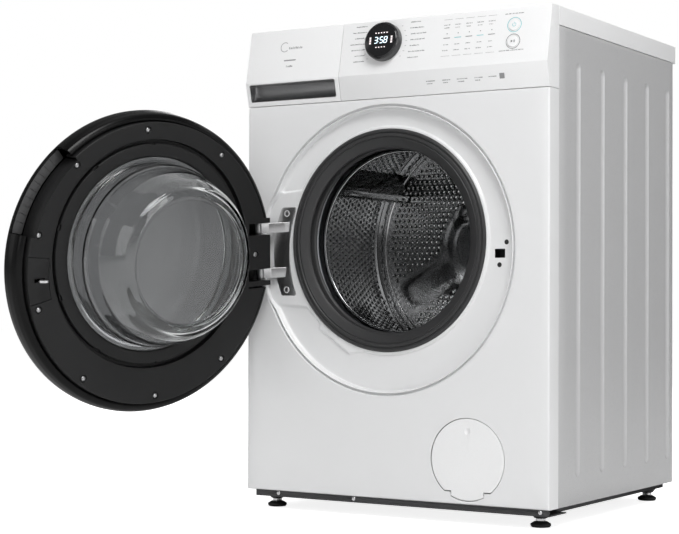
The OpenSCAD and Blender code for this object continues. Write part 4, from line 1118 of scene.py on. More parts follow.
def digit(character, x, z, width, height, lift):
    pieces = []
    for key in DIGITS[character]:
        sx, sz, flat = SEGMENTS[key]
        length = width - 0.5 if flat else height / 2 - 0.4
        pieces.append(segment(x + sx * width / 2, z + sz * height / 2, flat, length, 1.25, 0.1, lift))
    return pieces


def small_dot(x, z, width, height, lift):
    outline = [(x + a * width / 2, z + b * height / 2) for a, b in ((-1, -1), (1, -1), (1, 1), (-1, 1))]
    return prism("dot", outline, "Z", 0, 0.1, 0, 1, place=slant_frame(DIAL_X, DIAL_Z, lift))


def display_marks(m):
    lift = DIAL_H - 0.62
    cool = []
    for character, x in (("3", -9.6), ("5", 0.9), ("8", 9.2)):
        cool += digit(character, x, 0.2, 5.6, 10.5, lift)
    cool += [small_dot(-4.6, z, 0.9, 0.9, lift) for z in (-2.2, 2.6)]
    warm = []
    for side in (-1, 1):
        for k in range(4):
            warm.append(small_dot(side * 21.0, -5.1 + 3.4 * k, 3.4, 1.7, lift))
    for k in range(5):
        warm.append(small_dot(-11 + 5.5 * k, 13.0, 2.2, 1.8, lift))
    for k in range(4):
        warm.append(small_dot(-8.3 + 5.5 * k, -12.6, 2.4, 1.6, lift))
    fit(merged("display_digits", cool), "root", "display", m["glow"])
    fit(merged("display_icons", warm), "root", "display", m["glow_warm"])


# ---------- detergent drawer ----------


DRAWER_BACK = FRONT + 14.5
SCOOP_R, SCOOP_LOW, SCOOP_HIGH = 21.0, 725.5, 757.5
SCOOP_X = (LEFT + 7, SPLIT_X - 8.5)
LINER = 0.7


def scoop_outline(inset, front_y, low):
    """The grip scoop's section in (y, z), drawn in by inset: a quarter round at its foot, open in front."""
    y, z = DRAWER_BACK - 2.5 - SCOOP_R, SCOOP_LOW + SCOOP_R
    arc = [polar(SCOOP_R - inset, a, y, z) for a in np.radians(np.linspace(-86, 0, 28))]
    top = SCOOP_HIGH - inset
    return arc + [(DRAWER_BACK - 2.5 - inset, top), (front_y, top), (front_y, low)]


def drawer_front(m):
    x1 = SPLIT_X - 0.5
    outline = fillet([
        (DRAWER_BACK, TOP, 0.4), (DRAWER_BACK, FASCIA_Z, 0.4), (FRONT, FASCIA_Z, 1.6),
        (CREASE_Y, CREASE_Z, 3.4), (TOP_Y, TOP, 3.2),
    ], steps=8)
    front = prism("drawer_front_moulding", outline, "X", LEFT, x1, 1.8, 5)
    inside = [(DRAWER_BACK + 2, TOP - 3), (TOP_Y + 4.5, TOP - 3), (CREASE_Y + 4.5, CREASE_Z + 3),
              (DRAWER_BACK + 2, CREASE_Z + 3)]
    hollow = prism("hollow", inside, "X", LEFT + 4, x1 - 4, 0)
    scoop = prism("scoop", scoop_outline(0, CREASE_Y - 12, 720), "X", *SCOOP_X, 3.0, 5)
    cut(front, [hollow, scoop])
    fit(front, "drawer", "white_plastic", m["plastic"], "drawer_front")


def scoop_shade_liner(m):
    """A grey metal lining in the white drawer scoop, painted shade and reflection where its hollow falls
    dark, cut off along the drawer front's face.
    """
    liner = prism("scoop_shade_liner", scoop_outline(0, CREASE_Y - 12, 720), "X", *SCOOP_X, 3.0, 5)
    line = scoop_outline(LINER, CREASE_Y - 20, SCOOP_LOW + LINER)
    inner = prism("inner", line, "X", SCOOP_X[0] + LINER, SCOOP_X[1] - LINER, 2.6, 5)
    face = [(CREASE_Y - 40, 700), (FRONT + 0.5, 700), (FRONT + 0.5, FASCIA_Z), (CREASE_Y + 0.5, CREASE_Z),
            (CREASE_Y - 40, CREASE_Z + 20)]
    cut(liner, [inner, prism("face", face, "X", LEFT - 5, SPLIT_X + 4.5, 0)])
    fit(liner, "drawer", "hinge_steel", m["scoop"])


def drawer_labels(m):
    rng = random.Random(3)
    marks = [ring_mark(-221, 822.5, 8.5, 1.0, start=0.9, sweep=4.6)]
    marks += word(rng, -212, 819.5, 29, 4.2)
    marks.append(mark(-207.5, 797.8, 25, 2.2))
    marks += word(rng, -214, 786.5, 14, 3.6)
    fit(merged("drawer_labels", marks), "drawer", "dial_black", m["print_pale"])


# ---------- door, drawn closed and swung open by OPEN_DOOR ----------

LIP_Y = DOOR_OUT_Y + 18.0
POCKET_Y = DOOR_OUT_Y + 16.0
FRAME_R = 238.0
GROOVE_R = 190.0
GLASS_R = 166.0
FLOOR_Y = DOOR_IN_Y - 12.0
GRIP_FROM, GRIP_TO = 15.0, 51.5
GRIP_R = 230.0
GRIP_RIBS = 9
POCKET_HALF = 62.0
ARM_Z = 40.0
BOWL = [(154, 0, 4), (153.2, 27, 3), (149.0, 34, 14), (143.5, 62, 40), (133.5, 90, 40), (122, 106, 12),
        (108, 110, 6), (102, 108.2, 5), (60, 109.5, 30), (0, 110)]
GLASS_Y = DOOR_IN_Y - 1.0
GLASS_T = 5.0


def door_lathe(name, profile, cz, steps=288, closed=True, angle=35):
    return lathe(name, profile, (AXIS_X, cz), steps, closed, angle, OPEN_DOOR)


def sector(r_in, r_out, a0, a1, low, high, edge, corner=4.0):
    """A ring sector about the door's axis, extruded along Y, with rounded corners."""
    steps = 40
    arc = np.radians(np.linspace(a0, a1, steps))
    turns = [corner] + [0] * (steps - 2) + [corner]
    outer = [(*polar(r_out, a, AXIS_X, DOOR_Z), turn) for a, turn in zip(arc, turns)]
    inner = [(*polar(r_in, a, AXIS_X, DOOR_Z), turn) for a, turn in zip(arc[::-1], turns)]
    return prism("sector", fillet(outer + inner, corner, 4), "Y", low, high, edge, 3, place=OPEN_DOOR)


def door_block(x, y, z, edge=0.5):
    return block("block", x, y, z, edge, 3, OPEN_DOOR)


def door_shell(m):
    """The black ring, rolled in behind the frame, with the finger opening and the hinge pocket."""
    r = DOOR_R
    profile = fillet(moved([
        (196, 3, 0.3), (196, 0, 0.6), (r - 22, -1, 6), (r - 12, 1, 9), (r - 5, 6, 9), (r - 1, 14, 12),
        (r, 24, 30), (r - 1.2, 36, 20), (r - 5, 47, 9), (r - 12, 50.5, 5), (FRAME_R + 1.4, 49.5, 1),
        (FRAME_R + 1.4, 45, 0.8), (r - 7, 44, 5), (r - 4.5, 32, 8), (r - 4, 24, 10), (r - 5, 15, 5),
        (r - 8.5, 9, 4), (r - 14, 5, 3), (r - 22, 3.4, 2),
    ], DOOR_OUT_Y), steps=6)
    shell = door_lathe("door_shell_moulding", profile, DOOR_Z, 320)
    grip = sector(200, DOOR_R + 12, GRIP_FROM, GRIP_TO, LIP_Y, DOOR_IN_Y + 8, 1.6)
    pocket = door_block((AXIS_X - DOOR_R - 20, AXIS_X - 190), (POCKET_Y, DOOR_IN_Y + 8),
                        (DOOR_Z - POCKET_HALF, DOOR_Z + POCKET_HALF), 1.2)
    cut(shell, [grip, pocket])
    return fit(shell, "door", "door_black", m["door"], "door_shell")


def grip_lip(m):
    """The stepped finger plate behind the front lip, with a few moulded ribs."""
    first, last = GRIP_FROM + 0.2, GRIP_TO - 0.2
    parts = [sector(GRIP_R + 2.4, DOOR_R - 4.8, first, last, DOOR_OUT_Y + 8, LIP_Y - 1.2, 0.8, 3)]
    for a in np.radians(np.linspace(GRIP_FROM + 5, GRIP_TO - 5, GRIP_RIBS)):
        turn = Matrix.Translation((AXIS_X, 0, DOOR_Z)) @ Matrix.Rotation(-a, 4, "Y")
        across, deep = (GRIP_R + 4, DOOR_R - 6.4), (LIP_Y - 2.4, LIP_Y - 0.3)
        parts.append(block("rib", across, deep, (-0.7, 0.7), 0.5, 3, OPEN_DOOR @ turn))
    return fit(merged("door_grip_plate", parts), "door", "door_grey", m["grip"])


def door_window(m):
    profile = fillet(moved([
        (0, -5), (100, -4.2, 200), (160, -2.4, 200), (195.4, 0, 0.8), (195.4, 2.8, 0.6), (160, 0.6, 200),
        (100, -1.2, 200), (0, -2),
    ], DOOR_OUT_Y), steps=6, closed=False)
    pane = door_lathe("door_window_pane", profile, DOOR_Z, 256, closed=False)
    return fit(pane, "door", "door_window", m["window"], "door_window")


def outer_ring():
    """Flat screw ring between a circle about the door's axis and one about the glass's axis."""
    steps = 360
    outer = fillet([(FRAME_R, FLOOR_Y - 18), (FRAME_R, DOOR_IN_Y - 4, 1), (FRAME_R - 1, DOOR_IN_Y, 1.6),
                    (FRAME_R - 6, DOOR_IN_Y)], steps=6, closed=False)
    inner = fillet([(GROOVE_R + 8, DOOR_IN_Y), (GROOVE_R + 2, DOOR_IN_Y, 1.4),
                    (GROOVE_R + 2.4, FLOOR_Y, 1.5), (GROOVE_R - 6, FLOOR_Y)], steps=6, closed=False)
    back = [(GROOVE_R - 6, FLOOR_Y - 3), (GROOVE_R + 5, FLOOR_Y - 3), (GROOVE_R + 5, DOOR_IN_Y - 3)]
    edge = [(FRAME_R - 3, DOOR_IN_Y - 3), (FRAME_R - 3, FLOOR_Y - 18)]
    t = np.arange(steps) * 2 * math.pi / steps
    rows = []
    for profile, cz in ((outer, DOOR_Z), (inner, AXIS_Z), (back, AXIS_Z), (edge, DOOR_Z)):
        for r, y in profile:
            rows.append(np.stack((AXIS_X + r * np.cos(t), np.full_like(t, y), cz + r * np.sin(t)), 1))
    return make_mesh("ring", np.concatenate(rows), grid_faces(len(rows), steps, True, True), 35, OPEN_DOOR)


def seat(x, z, r, depth):
    """A countersunk screw seat in the ring's face."""
    profile = moved([(0, -depth), (r - 0.8, -depth), (r, 0.8 - depth), (r + 0.1, -0.7), (r + 0.8, 0.1),
                     (r + 0.8, 4), (0, 4)], DOOR_IN_Y)
    return lathe("seat", profile, (x, z), 40, False, 35, OPEN_DOOR)


def screw_points():
    return [polar(SCREW_RING, math.radians(a), AXIS_X, DOOR_Z) for a in SCREW_ANGLES]


def door_frame(m):
    ring = outer_ring()
    cutters = [seat(x, z, 6.0, 2.4) for x, z in screw_points()]
    cutters.append(sector(GRIP_R - 0.2, DOOR_R + 20, GRIP_FROM, GRIP_TO, LIP_Y - 4, DOOR_IN_Y + 5, 0, 5))
    cutters.append(door_block((HINGE[0] - 30, AXIS_X - 196.5), (DOOR_OUT_Y, DOOR_IN_Y + 8),
                              (DOOR_Z - POCKET_HALF + 2, DOOR_Z + POCKET_HALF - 2), 0))
    cutters.append(sector(198.6, FRAME_R + 0.6, -12.0, 7.5, DOOR_IN_Y - 2.3, DOOR_IN_Y + 5, 0, 1))
    cutters.append(door_block((LATCH_X - 15.4, LATCH_X + 13.4), (DOOR_IN_Y - 26, DOOR_IN_Y + 8),
                              (LATCH_Z - 28.4, LATCH_Z + 28.4), 0))
    cut(ring, cutters)
    first, last = GRIP_FROM - 0.5, GRIP_TO + 0.5
    parts = [ring, sector(GRIP_R - 3.2, GRIP_R - 0.2, first, last, LIP_Y - 3, DOOR_IN_Y - 0.4, 0.7, 0.8)]
    parts += [hinge_block(z0, z1) for z0, z1 in ((-30.0, 30.0), (50.8, 59.4), (-59.4, -50.8))]
    return fit(merged("door_frame_moulding", parts), "door", "door_grey", m["frame"], "door_frame")


def hinge_block(z0, z1):
    """One of the frame's blocks beside the hinge arms, square to the pin and trimmed to the frame's face."""
    reach = AXIS_X - 196 - HINGE[0]
    corners = [(reach, -16, 0.5), (reach, 48, 0.8), (2, 48, 8), (-6.6, 1, 6), (-6.6, -16, 2)]
    outline = fillet(corners, steps=6)
    piece = prism("hinge_block", outline, "Z", z0, z1, 0.7, 3, place=OPEN_DOOR @ PIN_FRAME)
    wide = (HINGE[0] - 40, AXIS_X - 150)
    trims = [door_block(wide, (DOOR_IN_Y - 0.6, DOOR_IN_Y + 60), (DOOR_Z - 90, DOOR_Z + 90), 0),
             door_block(wide, (POCKET_Y - 60, POCKET_Y + 0.6), (DOOR_Z - 90, DOOR_Z + 90), 0)]
    if z0 < 0 < z1:
        trims.append(seat(HINGE[0] + 30, DOOR_Z, 5.4, 3.6))
    return cut(piece, trims)


def clamp_ring(m):
    r0, r1 = GLASS_R - 3, GROOVE_R - 4.5
    foot = FLOOR_Y - DOOR_IN_Y
    profile = fillet(moved([
        (r1 - 2, foot - 3, 0.5), (r1 + 0.6, foot - 3, 0.4), (r1 + 0.3, -4, 0.6), (r1 - 0.8, -2.3, 0.9),
        (r0 + 2.5, -1.6, 1.0), (r0, -3.2, 0.8), (r0, -5.4, 0.3), (r0 + 6, -5.4, 0.3),
        (r0 + 6, foot - 1, 0.3),
    ], DOOR_IN_Y), steps=5)
    ring = door_lathe("glass_clamp_ring_moulding", profile, AXIS_Z)
    slots = []
    for k in range(10):
        turn = Matrix.Translation((AXIS_X, 0, AXIS_Z)) @ Matrix.Rotation(-math.radians(18 + 36 * k), 4, "Y")
        slots.append(block("slot", (r1 - 2.2, r1 + 3), (DOOR_IN_Y - 7, DOOR_IN_Y + 3), (-5.5, 5.5), 0.6, 2,
                           OPEN_DOOR @ turn))
    cut(ring, slots)
    return fit(ring, "door", "door_grey", m["frame"], "glass_clamp_ring")


def door_glass(m):
    """The bowl: thick at its side, thinner across its end, with the clamped flange at the front."""
    bowl = [(*p[:2], p[2] if len(p) > 2 else 0) for p in BOWL]
    inner = []
    for i, (r, y, turn) in reversed(list(enumerate(bowl))):
        steep = 1 if i < 6 else 0.35
        deep = 0.15 if i < 4 else 1
        inner.append((max(0, r - GLASS_T * steep), y - GLASS_T * deep, turn))
    flange = [(149, -11), (GLASS_R, -11, 1.0), (GLASS_R, -5, 1.2), (157, -4.6, 2.4)]
    outside = fillet(moved(flange + bowl, GLASS_Y), steps=9, closed=False)
    inside = fillet(moved(inner + [(149, -11)], GLASS_Y), steps=9, closed=False)
    glass = door_lathe("door_glass_bowl", outside + inside, AXIS_Z, 320, closed=False, angle=60)
    return fit(glass, "door", "door_glass", m["glass"], "door_glass")


def door_latch(m):
    """The latch housing with its cover plate, and the hook on its pin."""
    plate = door_block((LATCH_X - 15, LATCH_X + 13), (DOOR_IN_Y - 25, DOOR_IN_Y - 0.6),
                       (LATCH_Z - 28, LATCH_Z + 28), 0.7)
    cover = sector(199.1, FRAME_R - 0.6, -11.7, 7.2, DOOR_IN_Y - 2.2, DOOR_IN_Y - 0.05, 0.4, 1)
    slot = ((LATCH_X - 10, LATCH_X + 9), (DOOR_IN_Y - 21, DOOR_IN_Y + 3), (LATCH_Z - 3.2, LATCH_Z + 3.2))
    plates = [cut(piece, [door_block(*slot, 0.8)]) for piece in (plate, cover)]
    fit(merged("latch_plate", plates), "door", "door_grey", m["frame"], "latch_housing")
    hook = fillet([
        (-6.5, -16, 3), (-1.0, -16, 3), (-1.0, 10, 1.2), (6.0, 10, 0.8), (6.5, 12.5, 1.2), (-1, 19, 2.5),
        (-6.5, 19, 2.5),
    ], steps=5)
    outline = [(LATCH_X + x, DOOR_IN_Y + y) for x, y in hook]
    blade = prism("latch_hook_blade", outline, "Z", LATCH_Z - 2, LATCH_Z + 2, 0.5, 3, place=OPEN_DOOR)
    pivot = Matrix.Translation((LATCH_X - 5, DOOR_IN_Y - 13, LATCH_Z))
    pin = pin_piece(1.5, 7.8, 0.3, OPEN_DOOR @ pivot, 32)
    fit(merged("latch_hook_blade", [blade, pin]), "hook", "bright_steel", m["bright"], "latch_hook")


def pin_piece(r, half, edge, place, steps):
    profile = fillet([(0, -half), (r, -half, edge), (r, half, edge), (0, half)], closed=False)
    return turned_up("pin", profile, place, steps, closed=False)


def door_screws(m):
    heads = []
    for x, z in screw_points():
        heads.append(screw_head(3.9, 3.0, OPEN_DOOR @ facing(x, DOOR_IN_Y - 2.4, z, 1), slot=False))
    middle = OPEN_DOOR @ facing(HINGE[0] + 30, DOOR_IN_Y - 3.6, DOOR_Z, 1)
    heads.append(screw_head(4.2, 2.4, middle))
    return fit(merged("door_screw_heads", heads), "door", "bright_steel", m["hinge"], "door_screws")


def hinge_pins(m):
    pins = []
    for side in (-1, 1):
        place = OPEN_DOOR @ PIN_FRAME @ Matrix.Translation((0, 0, side * ARM_Z))
        pins.append(pin_piece(3, 19, 0.5, place, 40))
    return fit(merged("hinge_pin_pair", pins), "door", "bright_steel", m["bright"], "hinge_pins")


PLATE_HALF = 79.0
PLATE_BACK, PLATE_BACK_R = 234.5, 171.0


def hinge_plate():
    """A plate with a hollow arc towards the mouth, a bowed back and a seat for each of its two screws."""
    x = AXIS_X
    arc = np.radians(np.linspace(-21, 21, 30))
    mouth = [(x - 200 * math.cos(a), DOOR_Z + 200 * math.sin(a), 0) for a in arc]
    back = [(x - PLATE_BACK + z * z / (2 * PLATE_BACK_R), DOOR_Z + z, 0) for z in np.linspace(70, -70, 15)]
    low = [(x - 217, DOOR_Z - PLATE_HALF, 7), (x - 186, DOOR_Z - PLATE_HALF, 6)]
    high = [(x - 186, DOOR_Z + PLATE_HALF, 6), (x - 217, DOOR_Z + PLATE_HALF, 7)]
    outline = fillet(low + mouth + high + back, steps=6)
    plate = prism("hinge_plate", outline, "Y", RECESS_Y - 3.4, RECESS_Y + 0.2, 0.9, 3)
    seats = [round_cutter(HINGE_SCREW_X, z, 6.0, RECESS_Y - 6, RECESS_Y - 1.8) for z in HINGE_SCREWS_Z]
    return cut(plate, seats)


def hinge_bracket(m):
    """The hinge plate in the recess and its two arms that carry the pins."""
    parts = [hinge_plate()]
    arm = fillet([
        (-4.5, 4.5, 2), (-1.5, 6.2, 3), (10, 23, 9), (24, 33, 4), (28, 44, 1), (46, 44, 1), (36, 31, 8),
        (13, 14, 9), (6, 1, 3), (0, -4, 4),
    ], steps=6)
    knuckle = fillet([(3.2, -9, 0.5), (6.5, -9, 1.0), (6.5, 9, 1.0), (3.2, 9, 0.5)], steps=4)
    for side in (-1, 1):
        place = PIN_FRAME @ Matrix.Translation((0, 0, side * ARM_Z))
        piece = prism("arm", arm, "Z", -9, 9, 1.2, 3, place=place)
        behind = block("behind", (HINGE[0] - 20, HINGE[0] + 80), (RECESS_Y - 0.2, RECESS_Y + 40),
                       (DOOR_Z - 90, DOOR_Z + 90), 0)
        parts.append(cut(piece, [behind]))
        parts.append(turned_up("knuckle", knuckle, place, 64))
    return fit(merged("hinge_bracket_steel", parts), "root", "hinge_steel", m["hinge"], "hinge_bracket")


# ---------- door boot ----------


def gasket(m):
    """The rubber boot: a lip on the recess's edge, two grooves, the sealing lip and a fold to the tub."""
    profile = fillet(moved([
        (192.3, -0.4, 0.3), (192.3, -4.4, 1.6), (189, -7.2, 1.5), (186.4, -6.6, 0.6), (185.2, -4.2, 0.8),
        (183.6, -6.8, 0.8), (179.2, -7.0, 1.0), (177.6, -4.6, 0.8), (176, -6.4, 0.8), (164, -1.2, 3),
        (160.2, 1.0, 1.8), (160.4, 4.6, 1.4), (163, 5.6, 1.5), (171, 5.2, 2.4), (174.2, 9, 2.5),
        (172.4, 16, 3),
        (161, 18, 2), (158, 22, 2.5), (161, 26, 2), (172, 27, 2), (173.6, 30, 1.5), (173.6, 37.0, 0.4),
        (176.6, 37.0, 0.4), (176.6, 27, 2), (174.5, 23.5, 2), (163.5, 22.6, 0.5), (163.5, 21, 0.5),
        (175, 19.2, 2), (178, 14, 2), (178, 7.5, 0.8), (184.6, 7.5, 0.6), (184.6, -0.4, 0.3),
    ], RECESS_Y), steps=6)
    boot = lathe("door_boot", profile, steps=288)
    boot.data.materials.clear()
    boot.data.materials.append(m["gasket"])
    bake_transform(boot)
    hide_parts("gasket")
    return boot


# ---------- drum ----------

DRUM_R = (DRUM_HIGH[0] - DRUM_LOW[0]) / 2 - 1.0
FRONT_WALL_Y, BACK_WALL_Y = node_box("drum_front")[0][1] + 9.0, DRUM_HIGH[1]
DRUM_MOUTH_R = 155.0
CELL_COLUMNS = 136
CELL = 2 * math.pi * DRUM_R / CELL_COLUMNS
HOLE_RINGS = [(4.5, 0.0), (3.3, -0.25), (2.1, -0.8), (1.7, -0.95), (1.55, -1.9)]
EDGE_STEPS = [(-1, -1), (0, -1), (1, -1), (1, 0), (1, 1), (0, 1), (-1, 1), (-1, 0)]


def perforated(name, centres, pitch, holes, to_point, angle=50):
    """A sheet of square cells, each with eight edge points and, where asked, a dimpled round hole."""
    cu, cv = (np.array(centres)[:, k, None] for k in (0, 1))
    corner = np.array(EDGE_STEPS)
    layers = [(cu + corner[:, 0] * pitch[0] / 2, cv + corner[:, 1] * pitch[1] / 2, 0.0)]
    turn = np.arctan2(corner[:, 1], corner[:, 0])
    for r, h in HOLE_RINGS:
        layers.append((cu + r * np.cos(turn), cv + r * np.sin(turn), h))
    verts = np.stack([to_point(u, v, h) for u, v, h in layers], 1).reshape(-1, 3)
    faces = []
    for i, hole in enumerate(holes):
        base = i * len(layers) * 8
        if not hole:
            faces.append(tuple(base + k for k in range(8)))
            continue
        for a in range(base, base + (len(layers) - 1) * 8, 8):
            faces += [(a + k, a + (k + 1) % 8, a + 8 + (k + 1) % 8, a + 8 + k) for k in range(8)]
    return make_mesh(name, verts, faces, angle)


def drum_barrel(m):
    y0, y1 = DRUM_LOW[1] + 0.5, BACK_WALL_Y - 0.5
    rows = round((y1 - y0) / CELL)
    pitch = (y1 - y0) / rows
    centres, holes = [], []
    for i in range(rows):
        for j in range(CELL_COLUMNS):
            centres.append(((j + 0.5 * (i % 2)) * CELL, y0 + (i + 0.5) * pitch))
            holes.append(0 < i < rows - 1)

    def to_point(u, v, h):
        r = DRUM_R - h
        return np.stack([AXIS_X + r * np.cos(u / DRUM_R), v + 0 * u, AXIS_Z + r * np.sin(u / DRUM_R)], -1)

    barrel = perforated("drum_barrel", centres, (CELL, pitch), holes, to_point)
    return fit(barrel, "drum", "drum_steel", m["drum"], "drum_shell")


def drum_front(m):
    r, mouth = DRUM_R, DRUM_MOUTH_R
    profile = fillet(moved([
        (mouth, -6, 1.0), (mouth + 1.2, -8.6, 1.4), (mouth + 4.6, -8.4, 1.4), (mouth + 6.4, -5.4, 2),
        (mouth + 12, -1, 5), (r - 14, 2, 8), (r - 3, 8, 8), (r + 1, 16, 2), (r + 1, 18, 0.2), (r, 18, 0.2),
        (r - 4, 9.5, 6), (r - 15, 3.2, 8), (mouth + 9, 0.2, 5), (mouth + 3.2, -4.6, 2),
    ], FRONT_WALL_Y), steps=6)
    wall = lathe("drum_front_wall", profile, steps=256)
    return fit(wall, "drum", "drum_steel", m["drum"], "drum_front")


def arm_offset(x, z):
    """Distance sideways from the nearest of the back wall's three pressed arms."""
    three = 3 * (np.arctan2(z, x) - math.pi / 2)
    return np.abs(np.angle(np.exp(1j * three))) / 3 * np.hypot(x, z)


def back_height(x, z):
    """Depth of the pressed back wall: a dished centre and three smooth raised arms."""
    r = np.hypot(x, z)
    dish = np.interp(r, [0, 52, 62, 78, 88, 300], [10, 10, 8.6, 1.2, 0, 0])
    arm = np.clip((27 - arm_offset(x, z)) / 8, 0, 1) * np.clip((196 - r) / 14, 0, 1)
    arm = arm * arm * (3 - 2 * arm)
    return np.maximum(dish, 5.0 * arm)


BACK_PITCH = 10.6


def drum_back(m):
    reach = DRUM_R - 12
    n = int(reach / BACK_PITCH) + 2
    centres, holes = [], []
    for i in range(-n, n + 1):
        for j in range(-n, n + 1):
            x, z = (j + 0.5 * (i % 2)) * BACK_PITCH, i * BACK_PITCH
            r = math.hypot(x, z)
            if r <= reach + 2:
                centres.append((x, z))
                holes.append(94 < r < reach - 22 and arm_offset(x, z) > 38)

    def to_point(u, v, h):
        return np.stack([AXIS_X + u, BACK_WALL_Y - 4 - back_height(u, v) - h, AXIS_Z + v], -1)

    plate = perforated("plate", centres, (BACK_PITCH, BACK_PITCH), holes, to_point, 30)
    r = DRUM_R
    rim = lathe("rim", fillet(moved([
        (r - 24, -4.6, 0.6), (r - 22, -6, 1.6), (r - 15, -6, 3), (r - 9, -2, 3), (r - 0.3, -2, 0.5),
        (r - 0.3, 0.3, 0.4), (r - 24, -1.8, 0.4),
    ], BACK_WALL_Y), steps=5), steps=256)
    cap = moved([(0, -17), (17, -17, 3), (20, -13.5, 2), (0, -13.5)], BACK_WALL_Y)
    hub = lathe("hub", fillet(cap, steps=6, closed=False), steps=96, closed=False)
    return fit(merged("drum_back_wall", [plate, rim, hub]), "drum", "drum_steel", m["drum"], "drum_back")


def lifter_set(m):
    """Three hollow-sided ridges along the drum, on the barrel at 120 degrees."""
    r = DRUM_R - 0.5
    foot_z = math.sqrt(r * r - 31 * 31)
    half = [(31, foot_z, 1.0), (26, r - 11, 14), (11, r - 43, 8), (5.5, r - 48.6, 5)]
    seat_line = [(16, r - 1.2, 0), (0, r - 0.1, 0), (-16, r - 1.2, 0)]
    shape = fillet([(-x, z, turn) for x, z, turn in half] + half[::-1] + seat_line, steps=6)
    low, high = (corner[1] for corner in node_box("lifters"))
    pieces = []
    for k in range(3):
        a = math.radians(180 + 120 * k)
        c, s = math.cos(a), math.sin(a)
        outline = [(AXIS_X + x * c + z * s, AXIS_Z + z * c - x * s) for x, z in shape]
        pieces.append(prism("lifter", outline, "Y", low, high, 4.0, 5))
    return fit(merged("drum_lifters", pieces), "drum", "drum_steel", m["drum"], "lifters")


# ---------- drain filter ----------

FINGER_R = 9.0


def filter_flap(m):
    """The round flap with a finger dimple in its rim, reliefs beside its hinge and two hinge knuckles."""
    r = FLAP_R
    profile = fillet(moved([(0, 0), (r - 6, 0, 10), (r - 0.3, 0.25, 1.1), (r, 2.4, 0.3), (0, 2.4)], FRONT),
                     steps=6, closed=False)
    lid = lathe("filter_flap_disc", profile, (FLAP_X, FLAP_Z), 200, closed=False)
    arc = np.linspace(0, math.pi, 49)
    ball = turned_up("ball", [(FINGER_R * math.sin(a), -FINGER_R * math.cos(a)) for a in arc],
                     Matrix.Translation((FLAP_X, FRONT - 7.2, FLAP_Z + 47)), 64, closed=False)
    _, pin_y, pin_z = joint_point("flap_hinge")
    reliefs, knuckles = [], []
    outline = fillet([(FRONT + 2.3, pin_z - 3, 0.3), (pin_y, pin_z - 3, 2), (pin_y + 3, pin_z, 2),
                      (pin_y, pin_z + 3, 2), (FRONT + 2.3, pin_z + 3, 0.3)], steps=4)
    for side in (-1, 1):
        x = FLAP_X + side * 50.5
        reliefs.append(block("relief", (x - 20.5, x + 20.5), (FRONT - 4, FRONT + 6),
                             (pin_z - 0.9, pin_z + 5.5), 0))
        x = FLAP_X + side * 24
        knuckles.append(prism("knuckle", outline, "X", x - 4, x + 4, 0.5, 2))
    cut(lid, [ball] + reliefs)
    fit(merged("filter_flap_disc", [lid] + knuckles), "flap", "white_plastic", m["plastic"], "filter_flap")


# ---------- parts that keep their CAD shape ----------

# CAD parts that only need their edges rounded: piece, body, slot, material, edge and its segments.
EDGED = {
    "base_frame": ("base_frame_moulding", "root", "dark_base", "base", 0.4, 2),
    "control_board": ("control_board_tray", "root", "board", "board", 0.4, 2),
    "drawer_housing": ("drawer_housing_box", "root", "housing_plastic", "housing", 0.6, 2),
    "drawer_tray": ("drawer_tray_moulding", "drawer", "housing_plastic", "housing", 0.8, 3),
    "door_lock": ("door_lock_box", "root", "black_plastic", "black", 0.5, 2),
    "filter_recess": ("filter_recess_cup", "root", "housing_plastic", "housing", 0.4, 2),
    "filter_cap": ("filter_cap_knob", "cap", "housing_plastic", "housing", 1.0, 3),
    "rear_panel": ("rear_panel_finished", "root", "galvanised", "zinc", 0.3, 2),
    "rear_cover": ("rear_cover_finished", "root", "galvanised", "zinc", 0.3, 2),
    "inlet_valve": ("inlet_valve_finished", "root", "housing_plastic", "housing", 0.8, 2),
    "drain_outlet": ("drain_outlet_finished", "root", "black_plastic", "black", 0.8, 2),
    "cable_gland": ("cable_gland_finished", "root", "black_plastic", "black", 0.6, 2),
    "transit_caps": ("transit_caps_finished", "root", "white_plastic", "plastic", 0.8, 2),
}

HIDDEN_FINISH = {
    "drain_pump": "black", "tub_front": "tub", "tub_rear": "tub", "front_counterweights": "cast",
    "top_counterweight": "cast", "bearings": "bright", "drive_motor": "motor", "motor_pulley": "bright",
    "damper_rods": "bright", "damper_cylinders": "black", "spring_beam": "zinc",
    "suspension_springs": "bright", "drive_belt": "belt", "drum_spider": "spider", "drum_shaft": "bright",
    "drum_pulley": "spider",
}


def edged_parts(m):
    for node, (name, body, slot, key, edge, segments) in EDGED.items():
        fit(polished(node, name, edge, segments), body, slot, m[key], node)


def hidden_parts(m):
    """Parts inside the cabinet keep their CAD shape and only take a material."""
    for node, key in HIDDEN_FINISH.items():
        mesh = frame["nodes"][node].data
        mesh.materials.clear()
        mesh.materials.append(m[key])


# ---------- studio ----------


def floor(m):
    bm = bmesh.new()
    bmesh.ops.create_grid(bm, x_segments=24, y_segments=24, size=14)
    plane = finish_bmesh(bm, "studio_floor", scale=1.0)
    plane.location = (0, 0, -0.0005)
    plane.data.materials.append(m["floor"])


def area_light(name, place, target, size, power):
    data = bpy.data.lights.new(name, "AREA")
    data.shape = "RECTANGLE"
    data.size, data.size_y = size
    data.energy = power
    lamp = bpy.data.objects.new(name, data)
    lamp.location = place
    lamp.rotation_euler = (Vector(target) - Vector(place)).to_track_quat("-Z", "Y").to_euler()
    bpy.context.scene.collection.objects.link(lamp)


WORLD_SOFT = 0.2


